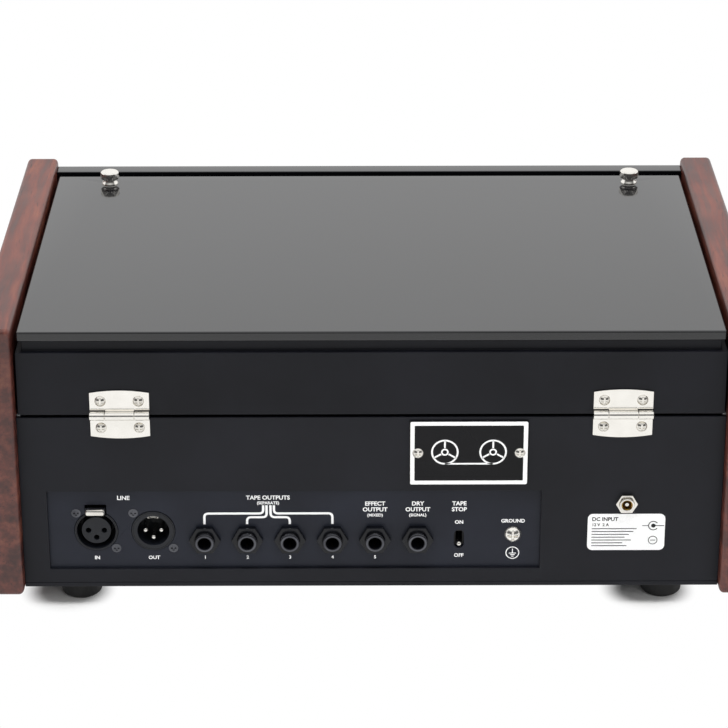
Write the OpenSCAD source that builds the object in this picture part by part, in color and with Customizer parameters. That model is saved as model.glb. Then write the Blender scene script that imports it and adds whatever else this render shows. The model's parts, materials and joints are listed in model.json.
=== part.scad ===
// Table-top tape echo unit: a sheet-steel chassis between two wooden cheeks, with a hinged
// lid over the tape bay, a recessed connector plate behind and a sloping control panel.
// Millimetres. The origin is under the middle of the unit, on the table. The controls face -Y.

/* [Cabinet] */
// Width of the chassis between the wooden cheeks
chassis_w = 352; // [346:1:372]
// Depth of the chassis from the rear panel to the kick plate
body_d = 284; // [278:1:300]
// Height of the rear panel
rear_h = 92; // [88:1:104]
// Thickness of the chassis sheet steel
sheet = 2; // [1.5:0.1:2.4]
// Thickness of the bottom plate
bottom_t = 2.5; // [2:0.1:4]
// Height of the upright kick plate below the sloping controls
kick_h = 27; // [20:1:32]
// Depth of the sloping panel, seen from above
slope_d = 45; // [40:0.5:50]
// Drop from the rear panel's top edge to the top of the deck
deck_drop = 9; // [7:0.5:12]
// Gap seen between the chassis and the closed lid
seam = 1.6; // [1:0.1:3]

/* [Cheeks] */
// Thickness of a wooden cheek
cheek_t = 17; // [14:1:24]
// How far a cheek stands out behind the rear panel and before the kick plate
cheek_over = 8; // [5:0.5:14]
// How far the cheeks' flat top runs on before the rail
cheek_lead = 1; // [1:0.5:8]
// How far a cheek stands above the lid
cheek_rise = 4.5; // [1:0.5:6.5]
// How far a cheek hangs below the bottom plate
cheek_drop = 1; // [0:0.5:5]
// Radius of a cheek's rounded edges
cheek_round = 2.4; // [1:0.2:5]

/* [Feet] */
// Height of a rubber foot
foot_h = 11; // [8:0.5:18]
// Diameter of a rubber foot
foot_d = 20.7; // [16:0.1:26]
// Foot centre in from the side of the chassis
foot_in_x = 27; // [16:1:50]
// Foot centre in from the rear panel or the kick plate
foot_in_y = 17; // [15:1:50]

/* [Lid] */
// Gap between the lid and a cheek
side_gap = 1; // [0.6:0.1:2]
// Height of the lid's walls
lid_wall_h = 33.5; // [32:0.5:44]
// Width of the flange round the lid's window
flange_w = 14; // [9:0.5:20]
// Height of the set-back rim under the lid's panel
rim_h = 6; // [3:0.5:9]
// How far the rim is set back from the lid's walls
rim_in = 3; // [1:0.5:5]
// Thickness of the rim
rim_t = 4; // [2:0.5:4]
// Thickness of the smoked panel on the lid
panel_t = 5; // [3:0.5:8]
// How much narrower the smoked panel is at each side
panel_in = 1; // [0:0.5:2]
// Width of the finger gap before the lid
finger_gap = 7; // [6:0.5:10]
// Depth of the rail before the finger gap
rail_d = 9.5; // [8:0.5:14]

/* [Hinges] */
// Hinge centre in from the side of the chassis
hinge_in = 51.5; // [30:0.5:70]
// Width of a hinge
hinge_w = 29.5; // [27:0.5:40]
// Height of one leaf from the pin
leaf_h = 11.75; // [11:0.25:14]
// Thickness of a leaf
leaf_t = 1; // [0.8:0.1:1.6]
// How far the end of a leaf bows out
leaf_bow = 1.3; // [0.5:0.1:2]
// Diameter of the knuckles
knuckle_d = 4.6; // [4.4:0.1:6]
// Width of the lid's middle knuckle
knuckle_w = 14.4; // [8:0.2:18]
// Diameter of the hinge pin
pin_d = 2.2; // [1.6:0.1:3]
// Height of the hinge pin above the rear panel's top edge
pin_up = 2.3; // [0:0.1:2.6]
// Screw out from the middle of a hinge
hinge_screw_x = 9.45; // [7:0.05:10]
// Screw up or down from the hinge pin
hinge_screw_z = 7.2; // [6.5:0.1:8]

/* [Screws] */
// Head diameter of the hinge and badge screws
head_d = 5.8; // [4.5:0.1:6.5]
// Head height of the hinge and badge screws
head_h = 1.7; // [1:0.1:2.4]
// Shank diameter of the hinge and badge screws
shank_d = 3; // [2:0.1:3.4]
// Width of the cross recess arms
cross_w = 0.9; // [0.6:0.1:1.2]

/* [Thumbscrews] */
// Thumbscrew in from the side of the lid
thumb_in_x = 30.5; // [24:0.5:60]
// Thumbscrew in from the front edge of the lid
thumb_in_y = 11.5; // [9:0.5:14]
// Diameter of the knurled cap
thumb_d = 10.3; // [8:0.1:14]
// Height of the knurled cap
thumb_h = 4.15; // [3:0.05:7]
// Teeth of the knurl
thumb_teeth = 44; // [24:2:60]
// Diameter of the neck under the cap
neck_d = 8; // [6:0.5:8]
// Height of the neck under the cap
neck_h = 2.85; // [1.5:0.05:5]
// Diameter of the stud
stud_d = 4; // [3:0.1:5]
// Wall of the lid's boss round the stud
boss_wall = 3; // [2:0.5:4]

/* [Connector plate] */
// Width of the opening for the connector plate
bay_w = 248; // [244:1:252]
// Height of the opening for the connector plate
bay_h = 43.7; // [42:0.1:48]
// Left edge of the opening in from the side of the chassis, seen from behind
bay_in = 13.2; // [10:0.2:16]
// Centre of the opening above the bottom plate
bay_up = 29.4; // [28:0.2:31]
// How far the plate laps behind the rear panel
bay_lap = 6; // [4:0.5:6]
// First jack from the left edge of the opening
jack_from = 78.6; // [76.8:0.2:80.8]
// Spacing of the rear jacks
jack_pitch = 21.5; // [21:0.1:21.8]
// Number of rear jacks
jack_count = 6; // [3:1:6]
// Rear jacks above the bottom plate
jack_up = 23.7; // [22:0.1:26]
// Radius of a jack's bore
jack_bore_r = 3.25; // [2.5:0.05:3.5]
// Depth of a jack's bore
jack_bore_l = 28; // [20:1:32]
// Diameter of a jack's threaded bushing
jack_thread_d = 9.5; // [8:0.1:10.4]
// How far a jack's bushing stands out of its panel
jack_out = 6; // [5:0.1:8]
// Width and height of a jack's housing
jack_body_w = 15; // [13:0.5:18]
// Depth of a jack's housing
jack_body_l = 24; // [20:1:26]
// Width across the flats of a jack nut
jack_nut_af = 14; // [13:0.1:15]
// Thickness of a jack nut
jack_nut_h = 3; // [2:0.1:4]

/* [Three-pin sockets] */
// First socket from the left edge of the opening
xlr_from = 23.9; // [21.8:0.1:25.8]
// Spacing of the two sockets
xlr_pitch = 28.8; // [28:0.1:29.5]
// Sockets above the bottom plate
xlr_up = 28.3; // [27.5:0.1:29]
// Radius of the socket's nose
xlr_nose_r = 10.9; // [10.5:0.1:11]
// Inner radius of the female socket's ring
xlr_ring_r = 9.75; // [9.3:0.05:9.9]
// Radius of the female socket's insert
xlr_insert_r = 7.4; // [7:0.1:7.6]
// Inner radius of the male socket's shell
xlr_shell_r = 8.05; // [7.8:0.05:9]
// Radius of the three pins
xlr_pin_r = 1.2; // [1:0.05:1.4]
// Distance of the pins from the middle
xlr_pin_out = 4; // [3.5:0.1:4.6]
// Depth of a socket behind the plate
xlr_deep = 26; // [22:1:30]
// Fixing screw out from the socket's middle, both ways
xlr_screw_out = 9.9; // [9.6:0.1:10.2]
// Width of the push latch
latch_w = 10.2; // [8:0.1:11]
// Height of the push latch
latch_h = 3.4; // [2.5:0.1:3.8]
// Latch above the socket's middle
latch_up = 12; // [11.8:0.1:12.6]
// How far the latch stands out of the plate
latch_out = 5; // [3:0.5:8]
// How far the latch is pushed down
latch_travel = 1.2; // [0.8:0.1:1.4]
// How far the latch reaches behind the plate
latch_deep = 12; // [8:0.5:14]
// Dark gap above the latch
latch_gap = 0.9; // [0.5:0.1:1.4]
// Thickness of the latch's stepped tip
latch_tip = 1.2; // [0.8:0.1:2]
// Thickness of a socket's flange
flange_t = 2; // [1.5:0.1:3]
// Width of a socket's flange
flange_w_xlr = 26; // [25:0.5:27]
// Height of a socket's flange
flange_h_xlr = 33; // [31:0.5:36]
// How far a socket's nose stands out of the plate
nose_out = 0.4; // [0.2:0.1:1]
// Depth of a socket's cavity
cavity_deep = 15; // [12:0.5:18]
// How far the female insert stands back from the socket's face
insert_back = 1; // [0.6:0.1:2]
// Depth of the female contacts
contact_deep = 12; // [8:0.5:13]
// Width of the male socket's keyway rib
key_w = 2.6; // [2:0.1:3]
// Depth of the male socket's keyway rib
key_t = 1.2; // [0.8:0.1:1.6]
// Head diameter of the sockets' countersunk screws
xlr_screw_d = 5; // [4.6:0.1:5.4]
// Shank radius of the sockets' screws
xlr_shank_r = 1.5; // [1.2:0.1:1.6]

/* [Small rear fittings] */
// Stop switch past the last jack
switch_past = 20.9; // [18.7:0.1:24.7]
// Stop switch above the bottom plate
switch_up = 23.3; // [22:0.1:26]
// Width of the switch slot
slot_w = 5; // [4:0.1:6]
// Height of the switch slot
slot_h = 10.2; // [9.6:0.1:12]
// Diameter of the switch lever
lever_d = 2.7; // [2:0.1:3]
// Tilt of the switch lever to each side
lever_tilt = 14; // [8:1:15]
// Depth of the switch housing
switch_deep = 13; // [12:0.5:16]
// Width of the switch housing
switch_w = 9; // [8:0.5:12]
// Height of the switch housing
switch_h = 15.2; // [14:0.1:18]
// Pivot of the switch lever behind the plate's face
lever_pivot = 9; // [8:0.5:10]
// Radius of the pin that the switch lever turns on
lever_pin_r = 0.8; // [0.5:0.05:1]
// Earth screw past the stop switch
earth_past = 27.2; // [21.8:0.1:30.8]
// Earth screw above the bottom plate
earth_up = 25.9; // [23:0.1:30]
// Head diameter of the earth screw
earth_d = 9.1; // [8:0.1:11]
// Shank radius of the earth screw
earth_shank_r = 2; // [1.5:0.1:2.5]
// Length of the earth screw behind the plate
earth_l = 9; // [6:0.5:12]
// Width across the flats of the earth screw's nut
earth_nut_af = 7; // [6:0.1:8]
// Thickness of the earth screw's nut
earth_nut_h = 3; // [2:0.1:4]
// Power inlet past the right edge of the opening, seen from behind
dc_past = 42.9; // [20:0.1:62]
// Power inlet above the bottom plate
dc_up = 44.5; // [20:0.5:66]
// Radius of the power inlet's bore
dc_bore_r = 2.75; // [2.5:0.05:3.2]
// Radius of the power inlet's centre pin
dc_pin_r = 1.05; // [0.8:0.05:1.3]
// Width across the flats of the inlet's nut
dc_nut_af = 9.7; // [9.6:0.1:12]
// Thickness of the inlet's nut
dc_nut_h = 2.2; // [1.5:0.1:3]
// How far the inlet stands out of the rear panel
dc_out = 3.4; // [2.4:0.1:5]
// Depth of the inlet's housing behind the rear panel
dc_deep = 12; // [10:0.5:15]
// Width of the inlet's housing
dc_w = 11; // [9:0.5:13]
// Height of the inlet's housing
dc_h = 13; // [9:0.5:13]
// Depth of the inlet's bore
dc_bore_l = 11; // [8:0.5:12]
// Middle of the badge plate in from the right side, seen from behind
badge_in = 127.5; // [116:0.5:134]
// Width of the badge plate
badge_w = 59.1; // [52:0.1:66]
// Height of the badge plate
badge_h = 35.2; // [28:0.1:36]
// Gap between the badge plate and the rear panel's top edge
badge_gap = 1.6; // [1:0.1:3]
// Thickness of the badge plate
badge_t = 1.2; // [0.8:0.1:2]
// Badge screw in from the end of the badge
badge_screw_in = 4.2; // [3.6:0.1:6]

/* [Controls] */
// Slope height of the upper row of controls
row_top = 84; // [80:1:88]
// Slope height of the lower row of controls
row_low = 34; // [28:1:38]
// Last knob column in from the right side
knob_in = 30; // [26:1:38]
// Spacing of the knob columns
knob_pitch = 46; // [40:1:48]
// Input knob in from the left side
input_in = 84; // [80:1:106]
// Selector knob in from the left side
selector_in = 118; // [114:1:122]
// Middle of the meter in from the left side
meter_in = 44; // [40:1:46]
// First front jack in from the left side
mic_in = 24; // [20:1:28]
// Spacing of the two front jacks
mic_pitch = 26; // [22:1:30]
// Pilot lamp in from the right side
lamp_in = 54; // [50:1:60]
// Diameter of a knob
knob_d = 20; // [16:0.5:24]
// Height of a knob
knob_h = 16; // [14:0.5:20]
// Flutes round a knob
knob_flutes = 12; // [6:1:18]
// Width of the pointer line on a knob
pointer_w = 1.4; // [0.8:0.1:2]
// Diameter of a control's shaft
shaft_d = 6; // [4:0.1:6.4]
// Diameter of a potentiometer's bushing
pot_bush_d = 8; // [7.4:0.1:9]
// Diameter of a potentiometer's body
pot_d = 17; // [14:0.5:24]
// Depth of a potentiometer's body
pot_l = 10; // [8:0.5:16]
// Length of a potentiometer's bushing before the panel
bush_out = 5.5; // [4:0.1:7]
// Thickness of a potentiometer's nut
pot_nut_h = 2; // [1.5:0.1:3]
// Gap between a knob and the panel
knob_gap = 0.6; // [0.3:0.1:1.2]
// Height of a knob's skirt
skirt_h = 3; // [2:0.5:5]
// Radius of a knob's flutes
flute_r = 1.5; // [1:0.1:2]
// Width of the meter's bezel
meter_w = 64; // [60:1:68]
// Height of the meter's bezel
meter_h = 46; // [42:1:48]
// Frame width of the meter's bezel
meter_frame = 6; // [4:0.5:8]
// Depth of the meter's case behind the panel
meter_deep = 12; // [10:0.5:13]
// How far the meter's bezel stands out
meter_out = 4; // [3:0.5:6]
// Wall of the meter's case
case_t = 1.5; // [1:0.1:2]
// Thickness of the meter's dial card
dial_t = 1; // [0.6:0.1:1.5]
// Dial card behind the panel's face
dial_back = 3; // [2.5:0.1:4]
// Thickness of the meter's window
window_t = 1.5; // [1:0.1:2]
// Pivot of the needle above the lower edge of the bezel
pivot_in = 9; // [8:0.5:12]
// Width of the needle
needle_w = 1; // [0.6:0.1:1.2]
// Swing of the needle to each side of upright
needle_swing = 38; // [20:1:42]
// Diameter of the pilot lamp
lamp_d = 9; // [6:0.5:12]
// Depth of the pilot lamp's holder
lamp_deep = 12; // [8:0.5:20]
// Thickness of the pilot lamp's rim
lamp_rim = 1.5; // [1:0.1:3]
// Diameter of the power toggle's bushing
toggle_bush_d = 11; // [9:0.5:13]
// Tilt of the power toggle to each side
toggle_tilt = 11; // [8:1:14]
// How far the toggle's bushing stands out of the panel
toggle_out = 8; // [6:0.5:10]
// Radius of the toggle's ball
toggle_ball_r = 3.1; // [2.6:0.1:3.4]
// Pivot of the toggle above the panel
toggle_up = 4; // [3.6:0.1:5]
// Radius of the pin that the toggle turns on
toggle_pin_r = 0.8; // [0.6:0.05:1]
// Length of the toggle's bat from its pivot
toggle_l = 15; // [12:0.5:20]
// Radius of the bat's end
toggle_end_r = 2.4; // [1.8:0.1:2.8]
// Width of the toggle's housing
toggle_w = 13; // [12:0.5:16]
// Height of the toggle's housing
toggle_h = 22; // [14:0.5:26]
// Depth of the toggle's housing
toggle_deep = 15; // [12:0.5:20]

/* [Tape path] */
// Width of the tape
tape_w = 6.35; // [5:0.05:8]
// Thickness of the tape as drawn
tape_t = 0.3; // [0.3:0.02:0.36]
// Middle of the tape above the deck
tape_up = 22; // [21:0.5:24]
// Front run of the tape behind the lid's front edge
tape_in = 28.5; // [27.5:0.5:30.5]
// Outer runs of the tape to each side of the middle
tape_side = 121; // [120:0.5:122]
// Number of folds of tape in the tray
tape_runs = 30; // [16:2:32]
// Gap left round the tape and the belt
run_gap = 0.3; // [0.2:0.05:0.4]
// Radius of the capstan shaft
capstan_r = 3; // [2.5:0.1:3.4]
// Capstan to the right of the middle
capstan_x = 78; // [74:1:82]
// Radius of the pinch roller
pinch_r = 9; // [7:0.5:10]
// Height of the pinch roller
pinch_h = 12; // [9:0.5:14]
// Pivot of the pinch arm to the right of the middle
pivot_x = 110; // [108:1:111]
// Pivot of the pinch arm behind the front run of the tape
pivot_back = 27; // [26:0.5:29]
// Swing of the pinch arm
pinch_swing = 12; // [6:1:12]
// Height of the capstan's bearing boss above the deck
boss_top_h = 9; // [6:0.5:10]
// Thickness of the pinch arm
arm_t = 3; // [2:0.5:4]
// Pinch arm above the deck
arm_up = 4; // [3:0.5:5]
// Half width of the pinch arm
arm_r = 4.5; // [4:0.1:5.5]
// Height of the arm's hub
hub_h = 9; // [8:0.5:11]
// Wall of the arm's hub
hub_wall = 3; // [2:0.5:4]
// Height of the arm's pivot pin
pivot_h = 12; // [11:0.5:15]
// Radius of the arm's pivot pin
pivot_r = 2.5; // [2:0.1:3]
// Radius of the roller's axle
axle_r = 2; // [1.5:0.1:2.5]
// Radius of the pin in the arm's slotted tail
tail_pin_r = 1.5; // [1:0.1:2]
// Radius of the guide posts
post_r = 3; // [2:0.1:3.4]
// How far a guide's collars stand out past its post
post_lip = 1.2; // [0.8:0.1:1.8]
// First head to the left of the middle
head_left = 107; // [105:1:108]
// Spacing of the heads
head_pitch = 25; // [18:0.5:27]
// Number of heads
head_count = 6; // [3:1:6]
// Width of a head
head_w = 12; // [10:0.5:14]
// Depth of a head
head_l = 12; // [10:0.5:15]
// Height of a head
head_hgt = 15; // [10:0.5:16]
// Gap between the tape tray and the rear panel
tray_rear = 12; // [8:1:30]
// Front edge of the tape tray behind the front run of the tape
tray_back = 40; // [39:1:44]
// Wall thickness of the tape tray
tray_t = 1.5; // [1:0.1:2.5]
// Side wall of the tray out from the outer run of tape
tray_side = 14; // [8:1:20]
// Height of the tray's walls above its floor
tray_wall = 7; // [6:0.5:10]

/* [Drive] */
// Radius of the flywheel
fly_r = 30; // [24:0.5:31]
// Height of the flywheel
fly_h = 14; // [10:1:18]
// Flywheel above the bottom plate
fly_up = 24.5; // [17:0.5:30]
// Radius of the motor's pulley
pulley_r = 6.5; // [4:0.5:10]
// Motor to the right of the middle
motor_x = 10; // [0:1:14]
// Motor behind the front run of the tape
motor_back = 12; // [4:1:16]
// Radius of the motor
motor_r = 22; // [16:0.5:24]
// Length of the motor
motor_l = 38; // [26:1:38]
// Radius of the motor's shaft
motor_shaft_r = 2; // [1.5:0.1:3]
// Height of the belt
belt_w = 4; // [3:0.5:6]
// Thickness of the belt
belt_t = 1; // [0.8:0.1:1.5]
// Width of the solenoid
solenoid_w = 20; // [16:0.5:20]
// Depth of the solenoid
solenoid_l = 31; // [24:1:32]
// Height of the solenoid
solenoid_h = 23; // [20:0.5:24]
// Solenoid to the right of the middle
solenoid_x = 134; // [134:0.5:136]
// Radius of the solenoid's plunger
plunger_r = 3; // [2:0.1:4]

/* [Electronics] */
// Gap between the circuit board and the rear panel
board_rear = 37; // [34:1:50]
// Thickness of the circuit board
board_t = 1.6; // [1:0.1:2.4]
// Radius of the board's spacers
spacer_r = 3; // [2:0.5:4]
// Spacers in from the edges of the board
spacer_in = 5.5; // [4:0.5:8]
// Width of the circuit board
board_w = 300; // [240:5:310]
// Depth of the circuit board
board_d = 105; // [90:1:108]
// Height of the board's spacers
spacer_h = 8.5; // [6:0.5:12]
// Width of the spring reverb tank
tank_w = 212; // [180:1:216]
// Depth of the spring reverb tank
tank_d = 85; // [60:1:90]
// Height of the spring reverb tank
tank_h = 22; // [15:1:24]
// Tank in from the left side of the chassis
tank_in_x = 4; // [2:0.5:8]
// Tank behind the kick plate's face
tank_in_y = 22; // [10:1:24]
// Thickness of the tank's sheet
tank_t = 1; // [0.6:0.1:2]
// Length of a pick-up in the tank
pickup_l = 18; // [12:1:24]
// Width of a pick-up in the tank
pickup_w = 50; // [40:1:56]
// Spacing of the reverb springs
spring_pitch = 15; // [10:1:18]
// Radius of a reverb spring
spring_r = 2.2; // [1.5:0.1:3]
// Length of a chip
chip_l = 19; // [12:1:24]
// Width of a chip
chip_w = 7; // [5:0.5:10]
// Height of a chip
chip_h = 4; // [2:0.5:5]
// Spacing of the chips in a row
chip_pitch = 28; // [25:1:40]
// First chip in from the end of the board
chip_in = 30; // [20:1:40]
// First row of chips behind the front edge of the board
chip_row = 35; // [28:1:40]
// Spacing of the two rows of chips
chip_rows = 27; // [14:1:40]
// Radius of a capacitor
cap_r = 4.5; // [3:0.5:6]
// Height of the shortest capacitor
cap_h = 12; // [8:1:14]
// Step in height from one capacitor to the next
cap_step = 4; // [1:0.5:5]
// Spacing of the capacitors
cap_pitch = 15; // [13:1:20]
// First capacitor in from the end of the board
cap_in = 24; // [10:1:30]
// Capacitors behind the front edge of the board
cap_row = 14; // [8:1:18]
// Width of the regulator's cooling plate
cooler_w = 36; // [24:1:44]
// Height of the regulator's cooling plate
cooler_h = 26; // [16:1:30]
// Thickness of the regulator's cooling plate
cooler_t = 3; // [2:0.5:4]
// Cooling plate in from the end of the board
cooler_in = 30; // [24:1:40]
// Cooling plate behind the front edge of the board
cooler_row = 18; // [14:1:22]
// Width of the regulator
reg_w = 10; // [8:0.5:12]
// Height of the regulator
reg_h = 18; // [12:1:20]
// Thickness of the regulator
reg_t = 4; // [3:0.5:5]

/* [Fits] */
// Radial running clearance of shafts and pins
run_fit = 0.05; // [0.02:0.01:0.1]
// Radial clearance of screws and bushings in their holes
hole_fit = 0.15; // [0.1:0.05:0.3]
// Clearance between moving pieces side by side
side_fit = 0.3; // [0.25:0.05:0.5]

/* [Hidden] */
$fn = 48;

// Heights
z_floor = foot_h + bottom_t;
z_rear_top = z_floor + rear_h;
z_lid = z_rear_top + seam;
z_rim = z_lid + lid_wall_h;
z_panel = z_rim + rim_h;
z_top = z_panel + panel_t;
z_cheek_top = z_top + cheek_rise;
z_cheek_low = foot_h - cheek_drop;
z_deck = z_rear_top - deck_drop;
z_kick = z_floor + kick_h;
z_pin = z_rear_top + pin_up;
z_tape = z_deck + tape_up;

// Plan
y_rear = body_d / 2;
y_kick = -body_d / 2;
x_side = chassis_w / 2;
x_lid = x_side - side_gap;
lid_d = body_d - slope_d - rail_d - finger_gap;
y_lid = y_rear - lid_d;
y_rail = y_lid - finger_gap;
y_rail_front = y_rail - rail_d;
x_hinge = x_side - hinge_in;
x_foot = x_side - foot_in_x;
y_foot = y_rear - foot_in_y;
x_thumb = x_lid - thumb_in_x;
y_thumb = y_lid + thumb_in_y;

// Rear fittings, to the right as seen from behind
u_bay = bay_in - x_side;
u_xlr = u_bay + xlr_from;
u_jack = u_bay + jack_from;
u_switch = u_jack + (jack_count - 1) * jack_pitch + switch_past;
u_earth = u_switch + earth_past;
u_dc = u_bay + bay_w + dc_past;
u_badge = x_side - badge_in;
badge_up = rear_h - badge_gap - badge_h / 2;
badge_screw_x = badge_w / 2 - badge_screw_in;
dc_thread_r = dc_nut_af / 2 - 1.2;

// Controls, to the right as seen from the front
x_knob = x_side - knob_in - 3 * knob_pitch;
x_toggle = x_side - knob_in;
x_lamp = x_side - lamp_in;
x_meter = meter_in - x_side;
x_mic = mic_in - x_side;
knob_places = [
    [input_in - x_side, row_low], [x_knob, row_low], [x_knob + knob_pitch, row_low],
    for (k = [0:3]) [x_knob + k * knob_pitch, row_top],
    [selector_in - x_side, row_top]];

// Slope of the control panel
lean = atan((y_rail_front - y_kick) / (z_top - z_kick));

// Tape transport
y_tape = y_lid + tape_in;
y_capstan = y_tape - tape_t / 2 - run_gap - capstan_r;
y_pinch = y_tape + tape_t / 2 + run_gap + pinch_r;
y_pivot = y_tape + pivot_back;
y_post = y_tape + tape_t / 2 + run_gap + post_r;
x_post = tape_side - tape_t / 2 - run_gap - post_r;
y_tray = y_tape + tray_back;
tray_d = y_rear - tray_rear - y_tray;
z_tray = z_tape - tape_w / 2 - run_gap;
z_arm = z_deck + arm_up;
z_fly = z_floor + fly_up;
y_motor = y_tape + motor_back;
z_motor = z_deck - sheet - motor_l;
z_belt = z_fly + fly_h / 2 - belt_w / 2;
y_tail = y_pivot + 5;
tail_turn = atan2(y_tail - y_pivot, solenoid_x - pivot_x);
z_plunger = z_deck + solenoid_h / 2;
y_solenoid = y_lid + sheet + 5.5;
boss_low_r = 8;
boss_top_r = capstan_r + 2.5;

// Hinges: the leaf's bowed end, and what clears the other leaf's knuckles
bow_r = (hinge_w * hinge_w / 4 + leaf_bow * leaf_bow) / (2 * leaf_bow);
pin_out = knuckle_d / 2 + side_fit;
leaf_clear = sqrt(pow(knuckle_d / 2 + side_fit, 2) - pow(pin_out - leaf_t, 2)) + side_fit;
fixed_w = (hinge_w - knuckle_w) / 2 - side_fit;
boss_r = stud_d / 2 + boss_wall;

// Stop switch: its ball, and the half width of its slot at the pivot and at the mouth
lever_ball_r = lever_d / 2 + 0.9;
lever_slot_x = lever_d / 2 + side_fit;
lever_slot_in = lever_d / 2 / cos(lever_tilt) + side_fit;
lever_slot_out = lever_slot_in + lever_pivot * tan(lever_tilt);

// Meter
meter_case_w = meter_w - meter_frame;
meter_case_h = meter_h - meter_frame;
dial_z = -dial_back;
window_z = meter_out - 1.5 - window_t;
pivot_low = meter_h / 2 - pivot_in;
needle_l = pivot_low + meter_h / 2 - meter_frame - 5;

// Bent front sheet, which ends under the rail
z_slope_top = z_top - sheet;
y_slope_top = y_kick + (z_slope_top - z_kick) * tan(lean);
bend_in = sheet * tan(lean / 2);
slope_sheet = sheet / cos(lean);

// Side outline of a cheek, in y and z
cheek_front = y_kick - cheek_over;
cheek_top_y = y_rail_front - cheek_lead;
cheek_toe_z = z_cheek_top - (cheek_top_y - cheek_front) / tan(lean);
cheek_outline = [
    [cheek_front, z_cheek_low], [y_rear + cheek_over, z_cheek_low],
    [y_rear + cheek_over, z_cheek_top], [cheek_top_y, z_cheek_top],
    [cheek_front, cheek_toe_z]];
round_steps = 5;

// Channel that carries the heads
bridge_x0 = -head_left - head_w / 2 - 4;
bridge_l = (head_count - 1) * head_pitch + head_w + 8;
bridge_d = head_l + 3;
y_head = y_tape - tape_t / 2 - run_gap;
z_bridge = z_tape - head_hgt / 2;

// Tray
x_tray = tape_side + tray_side;
tray_top = z_tray + tray_wall;

// Electronics
y_board = y_rear - board_rear - board_d;
y_tank = y_kick + tank_in_y;
x_tank = tank_in_x - x_side;

// Colours
steel_black = [0.17, 0.17, 0.19];
gloss_black = [0.08, 0.08, 0.09];
wood_red = [0.52, 0.29, 0.23];
nickel = [0.85, 0.84, 0.82];
zinc = [0.66, 0.68, 0.70];
rubber_black = [0.07, 0.07, 0.07];
plastic_black = [0.11, 0.11, 0.12];
brass = [0.80, 0.62, 0.30];

// Frames: on the rear panel x runs to the right as seen from behind, y up and z outwards
module on_rear(right, up, out = 0) {
    translate([-right, y_rear + out, z_floor + up]) rotate([90, 0, 180]) children();
}

// The same on the face of the connector plate, which lies behind the rear panel
module on_plate(right, up) {
    on_rear(right, up, -sheet) children();
}

// On the sloping panel x runs to the right, y up the slope and z outwards
module on_front(right, up) {
    translate([0, y_kick, z_kick]) rotate([90 - lean, 0, 0]) translate([right, up, 0])
        children();
}

// Block centred in x and y that stands on z = 0
module block(w, d, h) {
    translate([-w / 2, -d / 2, 0]) cube([w, d, h]);
}

// Rectangle with true round corners
module round_rect(w, h, r) {
    square([w - 2 * r, h], center = true);
    square([w, h - 2 * r], center = true);
    for (sx = [-1, 1], sy = [-1, 1])
        translate([sx * (w / 2 - r), sy * (h / 2 - r)]) circle(r);
}

// Hexagonal nut standing on z = 0, with its corners turned down a little
module hex_nut(af, h, bore_r) {
    corner_r = af / 2 / cos(30);
    difference() {
        intersection() {
            cylinder(h = h, r = corner_r, $fn = 6);
            cylinder(h = h + corner_r, r1 = corner_r + h * 1.5, r2 = af / 2 - corner_r * 0.6);
        }
        translate([0, 0, -1]) cylinder(h = h + 2, r = bore_r);
    }
}

// Low domed screw head on z = 0 with a cross recess, and its shank below
module pan_screw(d, h, shank_r, shank_l) {
    dome_r = (d * d / 4 + h * h) / (2 * h);
    difference() {
        intersection() {
            cylinder(h = h, r = d / 2);
            translate([0, 0, h - dome_r]) sphere(dome_r);
        }
        for (turn = [0, 90]) rotate(turn)
            translate([0, 0, h * 0.45]) block(d * 0.55, cross_w, h);
    }
    translate([0, 0, -shank_l]) cylinder(h = shank_l + 0.01, r = shank_r);
}

// Outline of an arm between two round eyes
module link(x1, y1, x2, y2, r) {
    len = norm([x2 - x1, y2 - y1]);
    translate([x1, y1]) rotate(atan2(y2 - y1, x2 - x1)) {
        circle(r);
        translate([0, -r]) square([len, 2 * r]);
        translate([len, 0]) circle(r);
    }
}

// ---- Cabinet ----

module bottom_plate() color(steel_black)
    translate([-x_side, y_kick, foot_h]) cube([chassis_w, body_d, bottom_t]);

module rear_panel() color(steel_black) difference() {
    translate([-x_side, y_rear - sheet, z_floor]) cube([chassis_w, sheet, rear_h]);
    on_rear(u_bay + bay_w / 2, bay_up, -sheet - 1) block(bay_w, bay_h, sheet + 2);
    on_rear(u_dc, dc_up, -sheet - 1) cylinder(h = sheet + 2, r = dc_thread_r + hole_fit);
    for (s = [-1, 1]) {
        on_rear(u_badge + s * badge_screw_x, badge_up, -sheet - 1)
            cylinder(h = sheet + 2, r = shank_d / 2 + hole_fit);
        for (t = [-1, 1])
            on_rear(s * x_hinge + t * hinge_screw_x, z_pin - z_floor - hinge_screw_z, -sheet - 1)
                cylinder(h = sheet + 2, r = shank_d / 2 + hole_fit);
    }
}

// One hull over slices whose inset follows a quarter circle at both faces
module cheek() hull() for (side = [0, 1], k = [0:round_steps]) {
    a = 90 * k / round_steps;
    inset = cheek_round * (1 - sin(a));
    depth = cheek_round * (1 - cos(a));
    x = side == 0 ? depth : cheek_t - depth - 0.01;
    translate([x, 0, 0]) rotate([90, 0, 90]) linear_extrude(0.01)
        offset(r = cheek_round, $fn = 24) offset(delta = -cheek_round - inset)
            polygon(cheek_outline);
}

module cheek_right() color(wood_red) translate([x_side, 0, 0]) cheek();

module cheek_left() color(wood_red) translate([-x_side - cheek_t, 0, 0]) cheek();

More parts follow.
